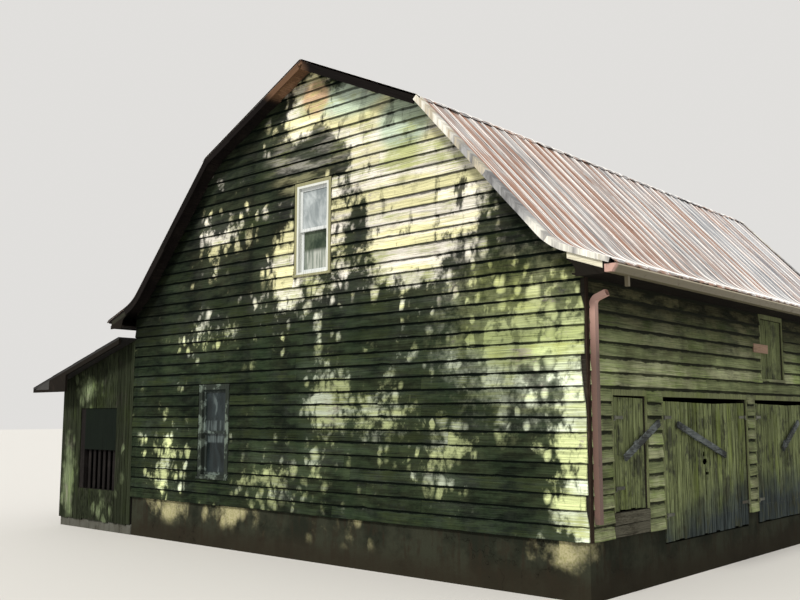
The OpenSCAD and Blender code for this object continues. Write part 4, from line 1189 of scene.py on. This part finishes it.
class BARN_OT_roof_edges(bpy.types.Operator):
    """Covers the ridge, the roof's ends and the ends of the boxed eaves"""
    bl_idname = "barn.roof_edges"
    bl_label = "Roof edges"

    def execute(self, context):
        look = context.scene.barn_roof
        rng = random.Random(look.seed + 1)
        low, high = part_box("roof_upper_right")
        self.ridge(look, rng, low.y, high.y)
        for end, y, out in (("front", low.y, -1), ("back", high.y, 1)):
            bm = new_mesh()
            for side in (1, -1):
                self.rake_boards(bm, rng, side, y, out, ROOF_LINE[:2], 0.08, line_length(ROOF_LINE[:2]))
            flare = line_length(ROOF_LINE[1:]) - 0.62
            self.rake_boards(bm, rng, -1, y, out, ROOF_LINE[1:], 0.0, flare)
            finish_piece(bm, f"rake_boards_{end}", "dark_trim", ["rake_wood"])
            bm = new_mesh()
            self.rake_strip(bm, look, rng, y, out)
            thicken(bm, look.thickness)
            finish_piece(bm, f"rake_strip_{end}", "roof_metal", ["rake_metal"])
            bm = new_mesh()
            for side in (1, -1):
                self.eave_end(bm, side, y, out)
            finish_piece(bm, f"eave_ends_{end}", "dark_trim")
        return {"FINISHED"}

    def ridge(self, look, rng, y0, y1):
        """Cap in lengths that lap, hemmed down at its edges."""
        bm, count = new_mesh(), 5
        length = (y1 - y0) / count
        across = (-0.19, -0.182, -0.03, 0.0, 0.03, 0.182, 0.19)
        for k in range(count):
            def place(i, j):
                a = across[i]
                normal = path_at(ROOF_LINE, abs(a) + 0.06)[1]
                spot = ROOF_LINE[0].lerp(ROOF_LINE[1], abs(a) / (ROOF_LINE[1] - ROOF_LINE[0]).length)
                out = look.rib_h + 0.006 + 0.003 * (k % 2) + 0.002 * wave(a * 9, j * 0.7, k)
                spot = spot + normal * (0.004 if i in (0, 6) else out)
                y = y0 + length * k - 0.02 + (length + 0.06) * j / 6
                x = MIDDLE + (1 if a > 0 else -1) * (spot.x if a else 0)
                return Vector((x, min(y, y1 + 0.02), spot.y)), (y, a * 5), 0.0

            sheet_strip(bm, 7, 7, place, rng.random())
        thicken(bm, look.thickness)
        finish_piece(bm, "ridge_sheets", "roof_metal", ["ridge_metal"], replaces=("ridge_cap",))

    def rake_boards(self, bm, rng, side, y, out, points, start, end):
        """Boards in lengths along one slope's end."""
        while start < end - 0.05:
            last = min(start + rng.uniform(1.5, 2.8), end)
            if end - last < 0.5:
                last = end
            tone, seed = rng.random(), rng.uniform(0, 50)
            deep = 0.125 + rng.uniform(-0.008, 0.008)

            def place(s, t, d):
                at = lerp(start, last - 0.004, s)
                spot, normal = path_at(points, at)
                spot = spot + normal * (lerp(-deep, 0.004, t) + 0.004 * wave(at * 1.7, seed, t))
                y_at = y + out * (0.024 * d + 0.002 * wave(at, seed, 3.0) * d)
                return Vector((MIDDLE + side * spot.x, y_at, spot.y))

            plank(bm, 14, place, lambda s, t: (lerp(start, last, s) + seed, t * 0.5), tone)
            start = last

    def rake_strip(self, bm, look, rng, y, out):
        """Strip over the sheets along the right slope's end, folded down over the boarding's edge."""
        points = ROOF_LINE[1:]
        total, straight = line_length(points), 3.6
        laps = [-0.05, 1.85, 3.3, total + 0.01]
        for k, (a, b) in enumerate(zip(laps, laps[1:])):
            lift = 0.002 * (2 - k)

            def place(i, j):
                run = lerp(a, b + (0.05 if k < 2 else 0), j / 24)
                spot, normal = path_at(points, min(max(run, 0.0), total))
                flare = min(1.0, max(0.0, (run - straight) / 0.7))
                wide = lerp(lerp(0.1, 0.17, min(1, max(run, 0) / straight)), 0.03, flare)
                level = look.rib_h + 0.004 + lift + 0.004 * wave(run * 1.4, i, 3.0)
                inward, outward, rise = (
                    (wide, 0, 0.0), (wide * 0.5, 0, 0.003), (0, 0.03, 0.002), (0, 0.03, 0))[i]
                if i == 3:
                    level = -lerp(0.06, 0.045, flare) + 0.004 * wave(run * 2.3, 4.0, k)
                spot = spot + normal * (level + rise)
                ragged = 0.006 * wave(run * 3, k, 1.0) if i == 0 else 0
                y_at = y - out * (inward + ragged) + out * (outward + (lift if i > 1 else 0))
                return Vector((MIDDLE + spot.x, y_at, spot.y)), (run, (inward + 0.1 * i) * 5), 0.0

            sheet_strip(bm, 4, 25, place, rng.random())

    def eave_end(self, bm, side, y, out):
        """Board that closes a boxed eave below its flare board, with its curved inner edge. Its near-black
        finish is painted shade.
        """
        low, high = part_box("eave_boards")
        outer = high.x - MIDDLE
        verts = [v.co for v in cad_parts["flare_boards"].data.vertices]
        fall = [v for v in verts if v.x > MIDDLE and v.y < FRONT]
        tip = min(v.z for v in fall if v.x > outer + MIDDLE - 0.03)
        start = min(v.z for v in fall if v.x < MIDDLE + HALF)
        first, last = Vector((HALF - 0.14, start + 0.03)), Vector((HALF + 0.06, low.z - 0.012))
        ring = [(outer, last.y)]
        for i in range(8):
            f = i / 7
            spot = last.lerp(first, f)
            ring.append((spot.x + 0.25 * f * (1 - f), spot.y + 0.1 * f * (1 - f)))
        ring += [(HALF - 0.07, start), (outer, tip)]
        panel(bm, [Vector((MIDDLE + side * x, y, z)) for x, z in ring], Vector((0, out * 0.014, 0)))


class BARN_OT_doors(bpy.types.Operator):
    """Builds the boarded leaves of the small door and of the two pairs of barn doors"""
    bl_idname = "barn.doors"
    bl_label = "Doors"

    def execute(self, context):
        look = context.scene.barn_doors
        rng = random.Random(look.seed)
        for body in ("small_door", "door_1_left", "door_1_right", "door_2_left", "door_2_right"):
            leaf = body + "_leaf"
            low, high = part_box(leaf)
            bm = new_mesh()
            width = high.y - low.y
            count = round(width / look.board)
            edges = [low.y + width * i / count for i in range(count + 1)]
            edges = [edges[0]] + [e + rng.uniform(-0.015, 0.015) for e in edges[1:-1]] + [edges[-1]]
            hole = None
            if body == "door_1_left":
                hole = low.y + look.hole_in
                near = min(range(count + 1), key=lambda i: abs(edges[i] - hole))
                edges[near] = hole
            hinge = high.y if "right" in leaf else low.y
            sag = look.sag if leaf.startswith("door") else 0.012
            for a, b in zip(edges, edges[1:]):
                self.board(bm, look, rng, low, high, a, b, hole, lambda y: sag * abs(y - hinge) / width)
            self.backing(bm, rng, low, high)
            finish_piece(bm, body + "_boards", "door_boards", ["door_boards", "hinge_iron"], body, (leaf,))
        self.shutter(rng)
        return {"FINISHED"}

    def shutter(self, rng):
        """The loft's closed shutter and the short board nailed over its left edge."""
        low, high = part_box("loft_shutter")
        bm = new_mesh()
        edges = [low.y + 0.035, low.y + 0.3, low.y + 0.54, low.y + 0.77, high.y - 0.004]
        x = high.x - 0.026
        for a, b, tone in zip(edges, edges[1:], (0.02, 0.16, 0.1, 0.01)):
            start, end = Vector((x - rng.uniform(0, 0.006), a, low.z + 0.004)), Vector((x, a, high.z - 0.012))
            wide = Vector((0, b - a - rng.uniform(0.01, 0.016), 0))
            beam(bm, start, end, wide, Vector((0.024, 0, 0)), tone, 10)
        x = high.x - 0.036
        for z in (low.z + 0.2, high.z - 0.3):
            start, end = Vector((x, edges[0] + 0.03, z)), Vector((x, high.y - 0.04, z))
            beam(bm, start, end, UP * 0.12, Vector((-0.02, 0, 0)), rng.random())
        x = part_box("opening_casings")[1].x - 0.001
        start, end = (Vector((x, FRONT + y, SILL + 2.71)) for y in (5.6, 6.26))
        beam(bm, start, end, UP * 0.15, Vector((0.02, 0, 0)), 0.6, 6, material=1)
        finishes = ["door_boards", "pink_board"]
        finish_piece(bm, "shutter_boards", "door_boards", finishes, replaces=("loft_shutter",))

    def board(self, bm, look, rng, low, high, a, b, hole, drop):
        """One door board, with half of the hand hole and its slots cut from its edge."""
        seed = rng.uniform(0, 50)
        holed = (hole == a, hole == b)
        a, b = a + look.gap * rng.uniform(0.2, 0.6), b - look.gap * rng.uniform(0.2, 0.9)
        z0 = low.z + look.ragged * rng.random() ** 2
        z1 = high.z - 0.004 * rng.random()
        out, skew = rng.uniform(-0.006, 0.0), rng.uniform(-0.008, 0.008)
        r, middle = look.hole_r, SILL + look.hole_up
        slots = ((middle - 0.205, middle - 0.16, 0.1), (middle + 0.08, middle + 0.15, 0.06))
        levels = [lerp(z0, z1, i / 15) for i in range(16)]
        if any(holed):
            cuts = (0, r + 0.01), (0.115, 0.05), (-0.18, 0.04)
            levels = [z for z in levels if all(abs(z - middle - at) > reach for at, reach in cuts)]
            levels += [middle + r * sin(i * pi / 8) for i in range(-4, 5)]
            for foot, head, _ in slots:
                levels += [foot, foot + 0.001, head - 0.001, head]
            levels.sort()

        def cut(z, side):
            if abs(z - middle) < r:
                return look.hole_w * sqrt(1 - ((z - middle) / r) ** 2) if holed[side] else 0.0
            foot, head, half = slots[side]
            return half if holed[side] and foot + 0.0005 < z < head - 0.0005 else 0.0

        def place(s, t, d):
            z = levels[round(s * (len(levels) - 1))]
            y = lerp(a + cut(z, 0), b - cut(z, 1), t) + 0.002 * wave(s * 4, seed, t)
            if s == 0:
                z += max(0, skew * (t - 0.5) + 0.006 * wave(seed, t * 3, 2.0))
            if s == 1:
                z -= drop(y)
            x = high.x + out - (0 if d > 0.5 else 0.022)
            return Vector((x + 0.0015 * wave(s * 3, seed, 5.0) - 0.0015, y, z))

        def uv(s, t):
            return levels[round(s * (len(levels) - 1))], t * (b - a) * 1.2 + seed

        plank(bm, len(levels) - 2, place, uv, rng.random())
        for level in (0.14, 0.5, 0.86):
            for t in (0.3, 0.72):
                z = lerp(low.z, high.z, level) + rng.uniform(-0.02, 0.02)
                self.nail(bm, Vector((high.x + out, lerp(a, b, t), z)))

    def nail(self, bm, at):
        """A nail head, or the end of a clenched nail."""
        turned = Matrix.Translation(at) @ Matrix.Rotation(pi / 2, 4, "Y")
        made = bmesh.ops.create_cone(
            bm, cap_ends=True, segments=6, radius1=0.006, radius2=0.004, depth=0.005, matrix=turned)
        for f in {f for v in made["verts"] for f in v.link_faces}:
            f.material_index = 1

    def backing(self, bm, rng, low, high):
        """Ledges and the braces between them, on the inner face."""
        levels = [low.z + (high.z - low.z) * f for f in (0.09, 0.36, 0.88)]
        wide, deep = 0.14, Vector((high.x - low.x - 0.03, 0, 0))
        x, a, b = low.x, low.y + 0.04, high.y - 0.04
        for z in levels:
            start, end = (Vector((x, y, z - wide / 2)) for y in (a, b))
            beam(bm, start, end, UP * wide, deep, rng.random())
        for z0, z1 in zip(levels, levels[1:]):
            start = Vector((x + 0.001, a + 0.05, z0 + wide / 2))
            end = Vector((x + 0.001, b - 0.05, z1 - wide / 2))
            across = Vector((1, 0, 0)).cross((end - start).normalized()) * wide * 0.8
            beam(bm, start - across / 2, end - across / 2, across, deep * 0.96, rng.random())


class BARN_OT_lean_to(bpy.types.Operator):
    """Boards the lean-to's walls and covers its roof"""
    bl_idname = "barn.lean_to"
    bl_label = "Lean-to"

    def execute(self, context):
        look = context.scene.barn_lean_to
        rng = random.Random(look.seed)
        low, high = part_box("lean_to_front_wall")
        panel_low, panel_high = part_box("lean_to_panel")
        slats_low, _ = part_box("lean_to_slats")
        verts = [v.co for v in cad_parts["lean_to_front_wall"].data.vertices]
        outer_top = max(v.z for v in verts if v.x < low.x + 0.001)

        def top_at(x):
            return lerp(outer_top, high.z, (x - low.x) / (high.x - low.x)) - 0.004

        for name, y, out in (("front", low.y, -1), ("back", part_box("lean_to_back_wall")[1].y, 1)):
            bm, x = new_mesh(), low.x - 0.02
            while x < high.x - 0.01:
                wide = look.board * rng.uniform(0.85, 1.15)
                if x > high.x - 0.75:
                    wide *= 0.62
                end = min(x + wide, high.x)
                spans = [(low.z - rng.uniform(0.0, 0.04), None)]
                if name == "front" and end > panel_low.x + LEAST and x < panel_high.x - LEAST:
                    spans = [(low.z - rng.uniform(0.0, 0.03), slats_low.z), (panel_high.z, None)]
                for z0, z1 in spans:
                    b = end - look.gap * rng.uniform(0.3, 1.4)
                    seed, lean = rng.uniform(0, 50), rng.uniform(-0.004, 0.004)

                    def at(s, t, depth):
                        u = lerp(x, b, t) + lean * s
                        return Vector((u, y + out * depth, lerp(z0, top_at(u) if z1 is None else z1, s)))

                    self.board(bm, look, rng, at, seed, 10)
                x = end
            finish_piece(bm, f"lean_to_boards_{name}", "lean_to_boards")
        low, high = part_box("lean_to_left_wall")
        bm, y = new_mesh(), low.y
        while y < high.y - 0.01:
            end = min(y + look.board * rng.uniform(0.85, 1.15), high.y)
            b = end - look.gap * rng.uniform(0.3, 1.4)
            seed, foot = rng.uniform(0, 50), low.z - rng.uniform(0, 0.03)

            def at(s, t, depth):
                return Vector((low.x - depth, lerp(y, b, t), lerp(foot, high.z - 0.03, s)))

            self.board(bm, look, rng, at, seed, 8)
            y = end
        finish_piece(bm, "lean_to_boards_left", "lean_to_boards")
        self.covering(rng)
        self.blocks(rng)
        return {"FINISHED"}

    def board(self, bm, look, rng, at, seed, cuts):
        """One upright board. at(s, t, depth) gives its points from fractions up and across."""
        def place(s, t, d):
            return at(s, t, look.thickness * d + (0.003 * wave(s * 3, seed, 1.0) if d > 0.5 else -0.001))

        plank(bm, cuts, place, lambda s, t: (s * 3, t * 0.25 + seed), rng.random())

    def covering(self, rng):
        """Dark roofing in lengths that lap down the slope, reaching a little past the roof's ends."""
        low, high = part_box("lean_to_roof")
        verts = [v.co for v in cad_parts["lean_to_roof"].data.vertices]
        fall = high.z - max(v.z for v in verts if v.x < low.x + 0.001)
        slope, tip = Vector((high.x - low.x, 0, fall)), Vector((low.x, 0, high.z - fall))
        normal = Vector((-fall, 0, slope.x)).normalized()
        bm, strips = new_mesh(), 4
        for k in range(strips):
            seed = rng.uniform(0, 50)

            def place(i, j):
                s = (k + i / 2 * 1.03) / strips
                out = 0.006 + 0.006 * (1 - i / 2) + 0.002 * wave(j * 0.6, i, seed)
                at = tip + slope * min(s, 1.0) + normal * out
                if i == 0:
                    at -= slope.normalized() * (0.012 + 0.012 * wave(j * 0.5, seed, 2.0))
                y = low.y - 0.012 + (high.y - low.y + 0.024) * j / 20
                return Vector((max(at.x, low.x), y, at.z)), (y, s * 9), 0.0

            sheet_strip(bm, 3, 21, place, rng.random())
        thicken(bm, 0.003)
        finish_piece(bm, "lean_to_covering", "lean_to_roofing")

    def blocks(self, rng):
        """A course of blocks under the boards, with raked joints between them."""
        low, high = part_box("lean_to_foundation")
        bm, tall = new_mesh(), UP * (high.z - low.z - 0.012)
        for corner, way, out, length in (
            ((low.x, low.y, low.z), (1, 0, 0), (0, -1, 0), high.x - low.x),
            ((low.x, high.y, low.z), (0, -1, 0), (-1, 0, 0), high.y - low.y),
            ((high.x, high.y, low.z), (-1, 0, 0), (0, 1, 0), high.x - low.x),
        ):
            way, out = Vector(way), Vector(out)
            count = round(length / 0.4)
            for k in range(count):
                ends = length * k / count + 0.005, length * (k + 1) / count - 0.005
                a, b = (Vector(corner) + way * u + UP * 0.002 for u in ends)
                beam(bm, a, b, tall, out * (0.014 + rng.uniform(0, 0.004)), rng.random(), 3, 0.002)
        finish_piece(bm, "lean_to_blocks", "grey_blocks")


class BARN_OT_frame_finish(bpy.types.Operator):
    """Gives every shown node of the frame its finish"""
    bl_idname = "barn.frame_finish"
    bl_label = "Frame finishes"

    def execute(self, context):
        for name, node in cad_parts.items():
            for i, given in enumerate(node.data.materials):
                finish = given.name.split(".")[0]
                for other, starts in FRAME_FINISHES.items():
                    if name.startswith(starts):
                        finish = other
                node.data.materials[i] = FINISHES[finish]()
        return {"FINISHED"}


class BARN_OT_stage(bpy.types.Operator):
    """Sets up the floor, the light and the camera"""
    bl_idname = "barn.stage"
    bl_label = "Stage"

    def execute(self, context):
        look, scene = context.scene.barn_stage, context.scene
        bm = bmesh.new()
        bmesh.ops.create_grid(bm, x_segments=1, y_segments=1, size=FLOOR_REACH)
        mesh = bpy.data.meshes.new("floor")
        bm.to_mesh(mesh)
        bm.free()
        paint = bpy.data.materials.new("floor_paint")
        paint.use_nodes = True
        connect(paint.node_tree.nodes["Principled BSDF"], {"Base Color": look.floor, "Roughness": 0.9})
        mesh.materials.append(paint)
        floor = place_object("floor", mesh)
        scene.world = world = bpy.data.worlds.new("studio")
        world.use_nodes = True
        connect(world.node_tree.nodes["Background"], {"Color": (1.0, 0.985, 0.96), "Strength": look.sky})
        sun = bpy.data.lights.new("key", "SUN")
        sun.energy, sun.angle, sun.color = look.sun, radians(12), (1.0, 0.97, 0.9)
        place_object("key", sun).rotation_euler = Vector(KEY_FROM).to_track_quat("Z", "Y").to_euler()
        lens = bpy.data.cameras.new("camera")
        lens.lens, lens.sensor_width = look.lens, 36.0
        lens.clip_start, lens.clip_end = 0.1, 400.0
        scene.camera = camera = place_object("camera", lens)
        camera.location, camera.rotation_euler = CAMERA_AT, CAMERA_TURN
        scene.view_settings.view_transform = "Standard"
        return {"FINISHED"}


class BARN_PT_panel(bpy.types.Panel):
    bl_label = "Barn"
    bl_idname = "BARN_PT_panel"
    bl_space_type = "VIEW_3D"
    bl_region_type = "UI"
    bl_category = "Barn"

    def draw(self, context):
        for step in STEPS:
            self.layout.operator(step.bl_idname)


STEPS = (
    BARN_OT_frame_finish, BARN_OT_clapboards, BARN_OT_roof_sheets, BARN_OT_roof_edges, BARN_OT_doors,
    BARN_OT_lean_to, BARN_OT_stage,
)
SETTINGS = {
    "barn_clapboards": ClapboardSettings, "barn_roof": RoofSheetSettings,
    "barn_doors": DoorSettings, "barn_lean_to": LeanToSettings, "barn_stage": StageSettings,
}
CLASSES = (*SETTINGS.values(), *STEPS, BARN_PT_panel)


def register():
    for cls in CLASSES:
        bpy.utils.register_class(cls)
    for name, cls in SETTINGS.items():
        setattr(bpy.types.Scene, name, PointerProperty(type=cls))


def unregister():
    for name in SETTINGS:
        delattr(bpy.types.Scene, name)
    for cls in reversed(CLASSES):
        bpy.utils.unregister_class(cls)


def main():
    register()
    for step in STEPS:
        operator = step.bl_idname.split(".")[1]
        getattr(bpy.ops.barn, operator)()


if __name__ == "__main__":
    main()
